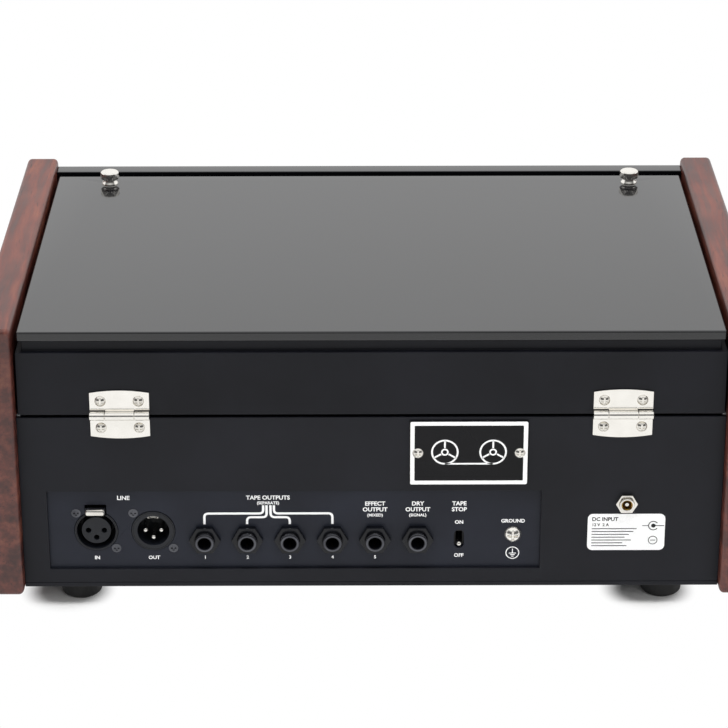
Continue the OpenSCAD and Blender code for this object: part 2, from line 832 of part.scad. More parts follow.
// Bent sheet: the kick plate and the sloping panel that ends under the rail
module front_panel() color(steel_black) difference() {
    translate([-x_side, 0, 0]) rotate([90, 0, 90]) linear_extrude(chassis_w) polygon([
        [y_kick, z_floor], [y_kick + sheet, z_floor], [y_kick + sheet, z_kick - bend_in],
        [y_slope_top + slope_sheet, z_slope_top], [y_slope_top, z_slope_top],
        [y_kick, z_kick]]);
    for (k = knob_places)
        on_front(k[0], k[1]) panel_hole(pot_bush_d / 2);
    for (k = [0, 1])
        on_front(x_mic + k * mic_pitch, row_low) panel_hole(jack_thread_d / 2);
    on_front(x_toggle, row_low) panel_hole(toggle_bush_d / 2 - 1);
    on_front(x_lamp, row_low) panel_hole(lamp_d / 2 - 1);
    on_front(x_meter, row_top) translate([0, 0, -sheet - 1])
        block(meter_case_w + 2 * hole_fit, meter_case_h + 2 * hole_fit, sheet + 2);
}

module panel_hole(r) translate([0, 0, -sheet - 1]) cylinder(h = sheet + 2, r = r + hole_fit);

// The rail closes the top of the sloping panel; its web runs down to the deck
module front_rail() color(gloss_black)
    translate([-x_side, 0, 0]) rotate([90, 0, 90]) linear_extrude(chassis_w) polygon([
        [y_rail_front, z_top], [y_slope_top, z_slope_top], [y_rail - sheet, z_slope_top],
        [y_rail - sheet, z_deck], [y_rail, z_deck], [y_rail, z_top]]);

module rubber_feet() color(rubber_black)
    for (sx = [-1, 1], sy = [-1, 1]) translate([sx * x_foot, sy * y_foot, 0])
        rotate_extrude() difference() {
            polygon([[0, 0], [foot_d / 2 - 1.5, 0], [foot_d / 2, 1.5],
                [foot_d / 2, foot_h], [0, foot_h]]);
            translate([-1, -1]) square([foot_d / 4, foot_h * 0.5]);
        }

module badge_plate() color(gloss_black) on_rear(u_badge, badge_up) difference() {
    linear_extrude(badge_t) round_rect(badge_w, badge_h, 0.8);
    for (s = [-1, 1]) translate([s * badge_screw_x, 0, -1])
        cylinder(h = badge_t + 2, r = shank_d / 2 + hole_fit);
}

// ---- Connector plate and its fittings ----

module io_plate() color(steel_black) difference() {
    on_plate(u_bay + bay_w / 2, bay_up) translate([0, 0, -sheet])
        block(bay_w + 2 * bay_lap, bay_h + 2 * bay_lap, sheet);
    for (k = [0:jack_count - 1])
        on_plate(u_jack + k * jack_pitch, jack_up) plate_hole(jack_thread_d / 2);
    for (k = [0, 1]) on_plate(u_xlr + k * xlr_pitch, xlr_up) {
        plate_hole(xlr_nose_r);
        for (s = [-1, 1]) translate([s * xlr_screw_out, -s * xlr_screw_out, 0])
            countersunk(hole_fit);
    }
    on_plate(u_xlr, xlr_up) latch_slot();
    on_plate(u_switch, switch_up) translate([0, 0, -sheet - 1])
        linear_extrude(sheet + 2) slot_outline();
    on_plate(u_earth, earth_up) plate_hole(earth_shank_r);
}

module plate_hole(r) translate([0, 0, -sheet - 1]) cylinder(h = sheet + 2, r = r + hole_fit);

module slot_outline() {
    square([slot_w, slot_h - slot_w], center = true);
    for (s = [-1, 1]) translate([0, s * (slot_h - slot_w) / 2]) circle(slot_w / 2);
}

// Countersunk screw seen as a solid, grown by a clearance where it is a hole
module countersunk(grow = 0) {
    sink = xlr_screw_d / 2 - xlr_shank_r;
    translate([0, 0, -sink]) cylinder(h = sink, r1 = xlr_shank_r + grow, r2 = xlr_screw_d / 2 + grow);
    translate([0, 0, -sheet - flange_t - 1]) cylinder(h = sheet + flange_t + 1, r = xlr_shank_r + grow);
}

// Slot in which the push latch slides down, with a dark gap left above it
module latch_slot() {
    low = latch_up - latch_h / 2 - latch_travel - side_fit;
    high = latch_up + latch_h / 2 + latch_gap;
    translate([-latch_w / 2 - side_fit, low, -latch_deep - side_fit])
        cube([latch_w + 2 * side_fit, high - low, latch_deep + 2]);
}

// Flange behind the plate, housing behind it, and a nose through the plate's hole
module xlr_housing() {
    translate([0, 0, -sheet - flange_t]) block(flange_w_xlr, flange_h_xlr, flange_t);
    translate([0, 0, -sheet - xlr_deep]) cylinder(h = xlr_deep, r = xlr_nose_r + 0.6);
    translate([0, 0, -sheet - flange_t]) cylinder(h = sheet + flange_t + nose_out, r = xlr_nose_r);
}

module xlr_screw_holes() for (s = [-1, 1])
    translate([s * xlr_screw_out, -s * xlr_screw_out, -sheet - flange_t - 1])
        cylinder(h = flange_t + 2, r = xlr_shank_r + hole_fit);

// The three contacts stand left, right and below
module at_contacts() for (a = [0, 180, 270]) rotate(a) translate([xlr_pin_out, 0, 0]) children();

module xlr_socket_in() color(plastic_black) on_plate(u_xlr, xlr_up) difference() {
    xlr_housing();
    translate([0, 0, -cavity_deep]) cylinder(h = cavity_deep + 1, r = xlr_ring_r);
    latch_slot();
    xlr_screw_holes();
}

// Insert with the three female contacts, seated on the cavity's floor
module xlr_insert() color(plastic_black) on_plate(u_xlr, xlr_up) difference() {
    translate([0, 0, -cavity_deep])
        cylinder(h = cavity_deep + nose_out - insert_back, r = xlr_insert_r);
    at_contacts() translate([0, 0, -contact_deep])
        cylinder(h = contact_deep + 1, r = xlr_pin_r + hole_fit);
}

module xlr_socket_out() color(nickel) on_plate(u_xlr + xlr_pitch, xlr_up) {
    difference() {
        xlr_housing();
        translate([0, 0, -cavity_deep]) cylinder(h = cavity_deep + 1, r = xlr_shell_r);
        xlr_screw_holes();
    }
    at_contacts() translate([0, 0, -cavity_deep - 1]) {
        cylinder(h = cavity_deep - 1, r = xlr_pin_r);
        translate([0, 0, cavity_deep - 1]) sphere(xlr_pin_r, $fn = 24);
    }
    translate([0, xlr_shell_r + 0.4 - key_t / 2, -cavity_deep]) block(key_w, key_t, cavity_deep);
}

module socket_screws() for (k = [0, 1]) on_plate(u_xlr + k * xlr_pitch, xlr_up)
    for (s = [-1, 1]) translate([s * xlr_screw_out, -s * xlr_screw_out, 0]) difference() {
        countersunk();
        for (turn = [0, 90]) rotate(turn) translate([0, 0, -0.8])
            block(xlr_screw_d * 0.55, cross_w, 2);
    }

module xlr_latch() color(zinc) on_plate(u_xlr, xlr_up) translate([0, latch_up, 0]) {
    translate([0, 0, -latch_deep]) linear_extrude(latch_deep + latch_out - latch_tip)
        round_rect(latch_w, latch_h, latch_h / 2 - 0.4);
    translate([0, 0, latch_out - latch_tip]) linear_extrude(latch_tip)
        round_rect(latch_w - 1, latch_h - 1, latch_h / 2 - 0.9);
}

// One jack: housing behind its panel, threaded bushing through it, and one bore
module jack(panel_sheet) difference() {
    union() {
        translate([0, 0, -panel_sheet - jack_body_l]) block(jack_body_w, jack_body_w, jack_body_l);
        translate([0, 0, -panel_sheet - 1]) cylinder(h = jack_out + panel_sheet + 1, r = jack_thread_d / 2);
    }
    translate([0, 0, jack_out - jack_bore_l]) cylinder(h = jack_bore_l + 1, r = jack_bore_r);
}

module at_jacks() {
    for (k = [0:jack_count - 1]) on_plate(u_jack + k * jack_pitch, jack_up) children();
    for (k = [0, 1]) on_front(x_mic + k * mic_pitch, row_low) children();
}

module jack_sockets() color(plastic_black) at_jacks() jack(sheet);

module jack_nuts() color(plastic_black) at_jacks()
    hex_nut(jack_nut_af, jack_nut_h, jack_thread_d / 2 + run_fit);

module dc_socket() color(zinc) on_rear(u_dc, dc_up) {
    difference() {
        union() {
            translate([0, 0, -sheet - dc_deep]) block(dc_w, dc_h, dc_deep);
            translate([0, 0, -sheet - 1]) cylinder(h = dc_out + sheet + 1, r = dc_thread_r);
        }
        translate([0, 0, dc_out - dc_bore_l]) cylinder(h = dc_bore_l + 1, r = dc_bore_r);
    }
    translate([0, 0, dc_out - dc_bore_l - 1]) cylinder(h = dc_bore_l, r = dc_pin_r);
}

module dc_nut() color(nickel) on_rear(u_dc, dc_up)
    hex_nut(dc_nut_af, dc_nut_h, dc_thread_r + run_fit);

// Housing behind the plate with a fan-shaped slot for the lever and a round seat for its ball
module stop_switch_body() color(plastic_black) on_plate(u_switch, switch_up) difference() {
    translate([0, 0, -sheet - switch_deep]) block(switch_w, switch_h, switch_deep);
    translate([0, 0, -lever_pivot]) {
        sphere(lever_ball_r + run_fit);
        cross_pin(lever_pin_r + run_fit, switch_w - 1);
        translate([-lever_slot_x, 0, 0]) rotate([90, 0, 90]) linear_extrude(2 * lever_slot_x)
            polygon([[-lever_slot_in, 0], [lever_slot_in, 0],
                [lever_slot_out, lever_pivot], [-lever_slot_out, lever_pivot]]);
    }
}

// Pin along x that a lever turns on
module cross_pin(r, l) translate([-l / 2, 0, 0]) rotate([0, 90, 0]) cylinder(h = l, r = r);

module stop_switch_lever() color(nickel) on_plate(u_switch, switch_up)
    translate([0, 0, -lever_pivot]) rotate([lever_tilt, 0, 0]) {
        sphere(lever_ball_r);
        cross_pin(lever_pin_r, switch_w - 1 - 2 * side_fit);
        cylinder(h = lever_pivot + sheet - lever_d / 2, r = lever_d / 2);
        translate([0, 0, lever_pivot + sheet - lever_d / 2]) sphere(lever_d / 2);
    }

module earth_terminal() color(nickel) on_plate(u_earth, earth_up) {
    pan_screw(earth_d, earth_d * 0.34, earth_shank_r, sheet + earth_l);
    translate([0, 0, -sheet - earth_nut_h]) hex_nut(earth_nut_af, earth_nut_h, earth_shank_r - 0.01);
}

// ---- Hinges ----

module at_hinges() for (s = [-1, 1]) translate([s * x_hinge, y_rear, z_pin])
    rotate([90, 0, 180]) children();

// Leaf from the pin line upwards, cut clear of the other leaf's knuckles
module leaf(own_w, clear_w) difference() {
    intersection() {
        linear_extrude(leaf_t) intersection() {
            translate([-hinge_w / 2, 0]) square([hinge_w, leaf_h + leaf_bow]);
            translate([0, leaf_h + leaf_bow - bow_r]) circle(bow_r, $fn = 120);
        }
        translate([-hinge_w, 0, -1]) cube([2 * hinge_w, 3 * leaf_h, 3]);
    }
    for (s = [-1, 1]) translate([s * hinge_screw_x, hinge_screw_z, -1])
        cylinder(h = leaf_t + 2, r = shank_d / 2 + hole_fit);
    for (x = clear_w) translate([x[0], -0.01, -1]) cube([x[1] - x[0], leaf_clear, leaf_t + 2]);
}

// Barrel along x, round the pin line
module barrel(x0, len, r) translate([x0, 0, pin_out]) rotate([0, 90, 0]) cylinder(h = len, r = r);

// The lower leaf holds the pin in its two outer knuckles
module hinge_leaves_body() color(nickel) at_hinges() {
    mirror([0, 1, 0]) leaf(fixed_w, [[-knuckle_w / 2 - side_fit, knuckle_w / 2 + side_fit]]);
    for (s = [0, 1]) mirror([s, 0, 0]) {
        barrel(knuckle_w / 2 + side_fit, fixed_w, knuckle_d / 2);
        knuckle_strap(knuckle_w / 2 + side_fit, fixed_w, -1);
    }
    barrel(-hinge_w / 2 + 0.5, hinge_w - 1, pin_d / 2);
}

// Web between a leaf and its knuckle
module knuckle_strap(x0, len, up) translate([x0, up > 0 ? 0 : -knuckle_d / 2, 0])
    intersection() {
        cube([len, knuckle_d / 2, pin_out]);
        union() {
            cube([len, knuckle_d / 2, leaf_t]);
            translate([0, up > 0 ? 0 : knuckle_d / 2, pin_out]) rotate([0, 90, 0])
                cylinder(h = len, r = knuckle_d / 2);
        }
    }

module hinge_leaves_lid() color(nickel) at_hinges() {
    difference() {
        union() {
            leaf(knuckle_w, [[-hinge_w, -knuckle_w / 2], [knuckle_w / 2, hinge_w]]);
            barrel(-knuckle_w / 2, knuckle_w, knuckle_d / 2);
        }
        barrel(-knuckle_w / 2 - 1, knuckle_w + 2, pin_d / 2 + run_fit);
    }
}

module hinge_screws(up) at_hinges() for (s = [-1, 1])
    translate([s * hinge_screw_x, up * hinge_screw_z, leaf_t])
        pan_screw(head_d, head_h, shank_d / 2, leaf_t + sheet + 2);

module body_screws() color(nickel) {
    hinge_screws(-1);
    socket_screws();
    for (s = [-1, 1]) on_rear(u_badge + s * badge_screw_x, badge_up, badge_t)
        pan_screw(head_d, head_h, shank_d / 2, badge_t + sheet + 2);
}

module lid_screws() color(nickel) hinge_screws(1);

// ---- Lid ----

module lid_ring(inset, t, z, h) translate([0, (y_rear + y_lid) / 2, z]) difference() {
    block(2 * (x_lid - inset), lid_d - 2 * inset, h);
    translate([0, 0, -1]) block(2 * (x_lid - inset - t), lid_d - 2 * (inset + t), h + 2);
}

module lid_frame() color(gloss_black) difference() {
    union() {
        lid_ring(0, sheet, z_lid, lid_wall_h);
        lid_ring(0, flange_w, z_rim - sheet, sheet);
        lid_ring(rim_in, rim_t, z_rim - 1, rim_h + 1);
        for (s = [-1, 1]) translate([s * x_thumb, y_thumb, z_rim - sheet])
            cylinder(h = rim_h + sheet, r = boss_r);
    }
    for (s = [-1, 1]) {
        translate([s * x_thumb, y_thumb, z_rim - sheet - 1])
            cylinder(h = rim_h + sheet + 2, r = stud_d / 2 + run_fit);
        for (t = [-1, 1]) translate([s * x_hinge + t * hinge_screw_x, y_rear - sheet - 1,
            z_pin + hinge_screw_z]) rotate([-90, 0, 0])
                cylinder(h = sheet + 2, r = shank_d / 2 + hole_fit);
    }
}

module lid_panel() color(gloss_black) difference() {
    translate([0, (y_rear + y_lid) / 2, z_panel]) block(2 * (x_lid - panel_in), lid_d, panel_t);
    for (s = [-1, 1]) translate([s * x_thumb, y_thumb, z_panel - 1])
        cylinder(h = panel_t + 2, r = stud_d / 2 + run_fit);
}

// Knurled cap on a neck, with its stud through the panel and the frame's boss
module thumbscrew(x) color(nickel) translate([x, y_thumb, z_top]) {
    translate([0, 0, neck_h]) linear_extrude(thumb_h - 0.6) knurl(thumb_d / 2);
    translate([0, 0, neck_h + thumb_h - 0.6])
        cylinder(h = 0.6, r1 = thumb_d / 2 - 0.25, r2 = thumb_d / 2 - 0.85);
    cylinder(h = neck_h / 2, r1 = neck_d / 2 + 1, r2 = neck_d / 2 - 0.3);
    translate([0, 0, neck_h / 2]) cylinder(h = neck_h / 2 + 0.1, r = neck_d / 2 - 0.3);
    translate([0, 0, -panel_t - rim_h - sheet]) cylinder(h = panel_t + rim_h + sheet + 1, r = stud_d / 2);
}

module knurl(r) polygon([for (k = [0:2 * thumb_teeth - 1])
    (r - (k % 2) * 0.3) * [cos(180 * k / thumb_teeth), sin(180 * k / thumb_teeth)]]);

module thumbscrew_left() thumbscrew(-x_thumb);

module thumbscrew_right() thumbscrew(x_thumb);

// ---- Deck and tape transport ----

// Deck with side rims under the lid's walls, the capstan's bearing and the arm's pivot
module deck_plate() color(zinc) difference() {
    union() {
        translate([-x_side, y_rail - sheet, z_deck - sheet])
            cube([chassis_w, y_rear - sheet - y_rail + sheet, sheet]);
        for (s = [0, 1]) mirror([s, 0, 0])
            translate([x_side - sheet, y_rail, z_deck - 0.01])
                cube([sheet, y_rear - sheet - y_rail, deck_drop + seam - side_fit]);
        translate([capstan_x, y_capstan, z_fly + fly_h + side_fit])
            cylinder(h = z_deck - z_fly - fly_h - side_fit, r = boss_low_r);
        translate([capstan_x, y_capstan, z_deck - 1]) cylinder(h = boss_top_h + 1, r = boss_top_r);
        translate([pivot_x, y_pivot, z_deck - 1]) cylinder(h = pivot_h + 1, r = pivot_r);
    }
    translate([capstan_x, y_capstan, z_fly]) cylinder(h = z_tape - z_fly, r = capstan_r + run_fit);
}

module capstan_flywheel() color(nickel) translate([capstan_x, y_capstan, z_fly]) {
    difference() {
        cylinder(h = fly_h, r = fly_r);
        for (side = [-1, 1]) translate([0, 0, side > 0 ? fly_h - 3 : -1]) difference() {
            cylinder(h = 4, r = fly_r - 4);
            translate([0, 0, -1]) cylinder(h = 6, r = 9);
        }
    }
    cylinder(h = z_tape + tape_w / 2 + 3 - z_fly, r = capstan_r);
}

// Pulley with the motor's shaft
module motor_pulley() color(brass) translate([motor_x, y_motor, z_belt - 2]) {
    difference() {
        cylinder(h = belt_w + 4, r = pulley_r + 1.5);
        translate([0, 0, 2]) difference() {
            cylinder(h = belt_w, r = pulley_r + 3);
            translate([0, 0, -1]) cylinder(h = belt_w + 2, r = pulley_r);
        }
    }
    cylinder(h = z_motor + motor_l * 0.5 - z_belt + 2, r = motor_shaft_r);
}

module motor() color(zinc) translate([motor_x, y_motor, z_motor]) difference() {
    union() {
        cylinder(h = motor_l, r = motor_r);
        translate([0, 0, motor_l - 3]) block(2 * motor_r + 8, 2 * motor_r, 3);
        translate([0, 0, -3]) cylinder(h = 4, r = 6);
    }
    translate([0, 0, -4]) cylinder(h = motor_l * 0.5 + 5, r = motor_shaft_r + run_fit);
}

// Loop outside two circles: arcs joined by the common tangents
module belt_outline(grow) {
    span = norm([capstan_x - motor_x, y_capstan - y_motor]);
    big = fly_r + grow;
    small = pulley_r + grow;
    tilt = acos((big - small) / span);
    translate([motor_x, y_motor]) rotate(atan2(y_capstan - y_motor, capstan_x - motor_x))
        polygon([
            for (k = [0:16]) let (a = 180 - tilt + 2 * tilt * k / 16)
                small * [cos(a), sin(a)],
            for (k = [0:48]) let (a = tilt - 180 + 2 * (180 - tilt) * k / 48)
                [span, 0] + big * [cos(a), sin(a)]]);
}

module drive_belt() color(rubber_black) translate([0, 0, z_belt]) linear_extrude(belt_w)
    difference() {
        belt_outline(run_gap + belt_t);
        belt_outline(run_gap);
    }

// Channel that carries the heads
module head_bridge() color(nickel) translate([bridge_x0, y_head - bridge_d, z_deck]) {
    translate([0, 0, z_bridge - z_deck - sheet]) cube([bridge_l, bridge_d - 1, sheet]);
    for (y = [0, bridge_d - 1 - sheet]) translate([0, y, 0])
        cube([bridge_l, sheet, z_bridge - z_deck]);
}

// Each head is a block with a rounded nose towards the tape
module tape_heads() color(zinc) for (k = [0:head_count - 1])
    translate([-head_left + k * head_pitch, y_head, z_bridge]) {
        translate([-head_w / 2, -head_l, 0]) cube([head_w, head_l - 2, head_hgt]);
        intersection() {
            translate([0, -head_w * 0.9, 0]) cylinder(h = head_hgt, r = head_w * 0.9);
            translate([-head_w / 2, -2.5, 0]) cube([head_w, 3, head_hgt]);
        }
    }

module tape_guides() color(nickel) for (s = [-1, 1]) translate([s * x_post, y_post, 0]) {
    translate([0, 0, z_deck]) cylinder(h = z_tape + tape_w / 2 + 2.5 - z_deck, r = post_r);
    translate([0, 0, z_deck]) cylinder(h = z_tray - 1.5 - z_deck, r = post_r + post_lip);
    translate([0, 0, z_tape + tape_w / 2 + run_gap]) cylinder(h = 1.2, r = post_r + post_lip);
}

// Tray: skirt on the deck, floor and walls, with a passage at each end of the front wall
module tape_tray() color(plastic_black) translate([0, y_tray, 0]) difference() {
    translate([-x_tray, 0, z_deck]) cube([2 * x_tray, tray_d, tray_top - z_deck]);
    translate([-x_tray + tray_t, tray_t, z_tray])
        cube([2 * (x_tray - tray_t), tray_d - 2 * tray_t, tray_wall + 1]);
    translate([-x_tray + tray_t, tray_t, z_deck - 1])
        cube([2 * (x_tray - tray_t), tray_d - 2 * tray_t, z_tray - tray_t - z_deck + 1]);
    for (s = [-1, 1]) translate([s * tape_side - 3, -1, z_tray])
        cube([6, tray_t + 2, tray_wall + 1]);
}

// Middle line of the endless tape: folds in the tray, then round the posts and past the heads
fold_step = 2 * tape_side / (tape_runs - 1);
fold_r = fold_step / 2;
fold_arc = 8;

function fold_x(k) = tape_side - k * fold_step;
function fold_far(k) = y_tray + tray_d - tray_t - fold_r - 4 - 5 * (1 + sin(k * 97));
function fold_near(k) = y_tray + tray_t + fold_r + 4 + 4 * (1 + sin(k * 71));
function fold(k) = let (far = k % 2 == 0, y = far ? fold_far(k) : fold_near(k))
    [for (j = [0:fold_arc]) let (a = 180 * j / fold_arc)
        [fold_x(k) - fold_r + fold_r * cos(a), y + (far ? 1 : -1) * fold_r * sin(a)]];
post_bend = post_r + run_gap + tape_t / 2;
function post_arc(s) = [for (j = [0:fold_arc]) let (a = 90 * j / fold_arc)
    [s * (x_post + (s > 0 ? sin(a) : cos(a)) * post_bend),
        y_post - (s > 0 ? cos(a) : sin(a)) * post_bend]];
tape_line = concat(post_arc(1), [for (k = [0:tape_runs - 2]) each fold(k)], post_arc(-1));

// The line moved sideways by half the tape's thickness
function along(k) = let (n = len(tape_line), d = tape_line[(k + 1) % n] - tape_line[(k + n - 1) % n])
    d / norm(d);
function tape_edge(off) = [for (k = [0:len(tape_line) - 1])
    tape_line[k] + off * [along(k)[1], -along(k)[0]]];

module tape_loop() color([0.30, 0.17, 0.10]) translate([0, 0, z_tape - tape_w / 2])
    linear_extrude(tape_w) difference() {
        polygon(tape_edge(tape_t / 2));
        polygon(tape_edge(-tape_t / 2));
    }

module pinch_roller() color(rubber_black) translate([capstan_x, y_pinch, z_tape - pinch_h / 2])
    difference() {
        cylinder(h = pinch_h, r = pinch_r);
        translate([0, 0, -1]) cylinder(h = pinch_h + 2, r = axle_r + run_fit);
    }

// Arm with a hub on the deck's pivot, the roller's axle and a slotted tail
module pinch_arm() color(nickel) {
    difference() {
        union() {
            translate([0, 0, z_arm]) linear_extrude(arm_t) {
                link(pivot_x, y_pivot, capstan_x, y_pinch, arm_r);
                link(pivot_x, y_pivot, solenoid_x, y_tail, arm_r);
            }
            translate([pivot_x, y_pivot, z_deck + side_fit])
                cylinder(h = hub_h, r = pivot_r + hub_wall);
        }
        translate([pivot_x, y_pivot, z_deck - 1])
            cylinder(h = hub_h + 2, r = pivot_r + run_fit);
        translate([solenoid_x, y_tail, z_arm - 1]) rotate(tail_turn)
            linear_extrude(arm_t + 2) square([5, 2 * (tail_pin_r + side_fit)], center = true);
    }
    translate([capstan_x, y_pinch, z_arm]) {
        cylinder(h = z_tape - pinch_h / 2 - side_fit - z_arm, r = axle_r + 2);
        cylinder(h = z_tape + pinch_h / 2 + 0.5 - z_arm, r = axle_r);
    }
}

module solenoid() color(zinc) translate([solenoid_x, y_solenoid, z_deck]) difference() {
    translate([-solenoid_w / 2, 0, 0]) cube([solenoid_w, solenoid_l, solenoid_h]);
    translate([0, 4, z_plunger - z_deck]) rotate([-90, 0, 0])
        cylinder(h = solenoid_l, r = plunger_r + run_fit);
}

// Plunger with a pin down through the arm's tail
module solenoid_plunger() color(nickel) {
    back = y_solenoid + 4 + pinch_swing * PI / 180 * (solenoid_x - pivot_x) + side_fit;
    translate([solenoid_x, back, z_plunger]) rotate([-90, 0, 0])
        cylinder(h = y_tail + 3 - back, r = plunger_r);
    translate([solenoid_x, y_tail, z_arm - 0.5])
        cylinder(h = z_plunger - z_arm + 0.5, r = tail_pin_r);
}

// ---- Electronics ----

module circuit_board() color([0.10, 0.30, 0.18]) translate([0, y_board, z_floor]) {
    translate([-board_w / 2, 0, spacer_h]) cube([board_w, board_d, board_t]);
    for (sx = [-1, 1], y = [spacer_in, board_d - spacer_in])
        translate([sx * (board_w / 2 - spacer_in), y, 0]) cylinder(h = spacer_h + 0.1, r = spacer_r);
    translate([0, 0, spacer_h + board_t - 0.1]) {
        // chips in rows
        for (x = [chip_in - board_w / 2:chip_pitch:board_w / 2 - chip_in], y = [0, chip_rows])
            translate([x, chip_row + y, 0]) block(chip_l, chip_w, chip_h);
        // round capacitors
        for (k = [0:7]) translate([cap_in - board_w / 2 + k * cap_pitch, cap_row, 0])
            cylinder(h = cap_h + cap_step * (k % 3), r = cap_r);
        // regulator on its cooling plate
        translate([board_w / 2 - cooler_in, cooler_row, 0]) {
            block(cooler_w, cooler_t, cooler_h);
            translate([0, -(cooler_t + reg_t) / 2 + 0.1, 0]) block(reg_w, reg_t, reg_h);
        }
    }
}

// Folded pan of the reverb, open below where it stands on the bottom plate
module reverb_tank() color(zinc) translate([x_tank, y_tank, z_floor]) {
    difference() {
        cube([tank_w, tank_d, tank_h]);
        translate([tank_t, tank_t, -1])
            cube([tank_w - 2 * tank_t, tank_d - 2 * tank_t, tank_h - tank_t + 1]);
    }
    // pick-ups at both ends and the springs between them
    for (x = [tank_t - 0.01, tank_w - tank_t - pickup_l + 0.01])
        translate([x, (tank_d - pickup_w) / 2, 0]) cube([pickup_l, pickup_w, tank_h - tank_t / 2]);
    for (k = [-1:1]) translate([tank_t + pickup_l - 1, tank_d / 2 + k * spring_pitch, tank_h / 2])
        rotate([0, 90, 0]) cylinder(h = tank_w - 2 * (tank_t + pickup_l - 1), r = spring_r);
}

// ---- Controls on the sloping panel ----

module meter_case() color(plastic_black) on_front(x_meter, row_top) difference() {
    union() {
        linear_extrude(meter_out) round_rect(meter_w, meter_h, 2);
        translate([0, 0, -meter_deep]) block(meter_case_w, meter_case_h, meter_deep + 0.1);
    }
    translate([0, 0, meter_out - 1.6])
        block(meter_case_w - 2 * case_t - 2, meter_case_h - 2 * case_t - 2, 3);
    translate([0, 0, dial_z]) block(meter_case_w - 2 * case_t, meter_case_h - 2 * case_t,
        meter_out - 1.5 - dial_z);
    translate([0, 0, -meter_deep + case_t])
        block(meter_case_w - 2 * case_t - 4, meter_case_h - 2 * case_t - 4, meter_deep);
}

module meter_dial() color([0.93, 0.90, 0.80]) on_front(x_meter, row_top) difference() {
    translate([0, 0, dial_z]) block(meter_case_w - 2 * case_t - 0.2,
        meter_case_h - 2 * case_t - 0.2, dial_t);
    translate([0, -pivot_low, dial_z - 1]) cylinder(h = dial_t + 2, r = 1 + run_fit);
}

module meter_window() color([0.8, 0.85, 0.9, 0.35]) on_front(x_meter, row_top)
    translate([0, 0, window_z]) block(meter_case_w - 2 * case_t - 0.2,
        meter_case_h - 2 * case_t - 0.2, window_t);

// Needle resting at the left end of its scale
module meter_needle() color("black") on_front(x_meter, row_top)
    translate([0, -pivot_low, dial_z + dial_t + 0.4]) rotate(needle_swing) {
        translate([-needle_w / 2, -4, 0]) cube([needle_w, needle_l + 4, 0.5]);
        cylinder(h = 1, r = 2);
        translate([0, 0, -3]) cylinder(h = 3.1, r = 1);
    }

module potentiometers() color(zinc) for (k = knob_places) on_front(k[0], k[1]) difference() {
    union() {
        translate([0, 0, -sheet - pot_l]) cylinder(h = pot_l, r = pot_d / 2);
        translate([0, 0, -sheet - 1]) cylinder(h = bush_out + sheet + 1, r = pot_bush_d / 2);
        cylinder(h = pot_nut_h, r = pot_bush_d / 2 + 2, $fn = 6);
    }
    translate([0, 0, -sheet - pot_l + 2])
        cylinder(h = pot_l + sheet + bush_out, r = shaft_d / 2 + run_fit);
}

// Fluted knob, hollow over the nut, with a pointer line; its shaft goes down the bushing
module knob(k, tone) color(tone) on_front(knob_places[k][0], knob_places[k][1]) {
    difference() {
        translate([0, 0, knob_gap]) {
            cylinder(h = skirt_h, r = knob_d / 2);
            translate([0, 0, skirt_h])
                cylinder(h = knob_h - skirt_h - 1, r1 = knob_d / 2 - 1, r2 = knob_d / 2 - 1.8);
            translate([0, 0, knob_h - 1]) cylinder(h = 1, r1 = knob_d / 2 - 1.8, r2 = knob_d / 2 - 2.8);
        }
        for (j = [0:knob_flutes - 1]) rotate((j + 0.5) * 360 / knob_flutes)
            translate([knob_d / 2 - 0.4, 0, knob_gap + skirt_h]) cylinder(h = knob_h, r = flute_r, $fn = 24);
        translate([0, 0, -1]) cylinder(h = bush_out + 1.3, r = pot_bush_d / 2 + 2.4);
        translate([-pointer_w / 2, 2.5, knob_gap + knob_h - 0.5]) cube([pointer_w, knob_d, 1]);
    }
    translate([0, 0, -sheet - pot_l + 2.3]) cylinder(h = pot_l + sheet + bush_out, r = shaft_d / 2);
}

module knob_input() knob(0, plastic_black);

module knob_bass() knob(1, plastic_black);

module knob_treble() knob(2, plastic_black);

module knob_rate() knob(3, plastic_black);

module knob_repeats() knob(4, plastic_black);

module knob_echo() knob(5, plastic_black);

module knob_reverb() knob(6, plastic_black);

// Long pointer knob of the mode selector
module selector_knob() color(plastic_black) {
    knob(7, plastic_black);
    on_front(knob_places[7][0], row_top) translate([0, 0, knob_gap]) difference() {
        linear_extrude(5) polygon([[-5, 0], [-2, knob_d / 2 + 5], [2, knob_d / 2 + 5], [5, 0]]);
        translate([0, 0, -1]) cylinder(h = 7, r = knob_d / 2 - 1.5);
    }
}

module toggle_bushing() color(nickel) on_front(x_toggle, row_low) difference() {
    union() {
        translate([0, 0, -sheet - toggle_deep]) block(toggle_w, toggle_h, toggle_deep);
        translate([0, 0, -sheet - 1]) cylinder(h = toggle_out + sheet + 1, r = toggle_bush_d / 2 - 1);
        cylinder(h = 2.5, r = toggle_bush_d / 2 + 2, $fn = 6);
    }
    translate([0, 0, -2]) cylinder(h = toggle_out + 3, r = toggle_ball_r + run_fit);
    translate([0, 0, toggle_up]) cross_pin(toggle_pin_r + run_fit, toggle_bush_d);
}

// Bat lever resting up, on
module power_toggle() color(nickel) on_front(x_toggle, row_low)
    translate([0, 0, toggle_up]) rotate([-toggle_tilt, 0, 0]) {
        sphere(toggle_ball_r);
        cross_pin(toggle_pin_r, toggle_bush_d - 2 - side_fit);
        cylinder(h = toggle_l, r1 = toggle_end_r / 2, r2 = toggle_end_r);
        translate([0, 0, toggle_l]) sphere(toggle_end_r);
    }

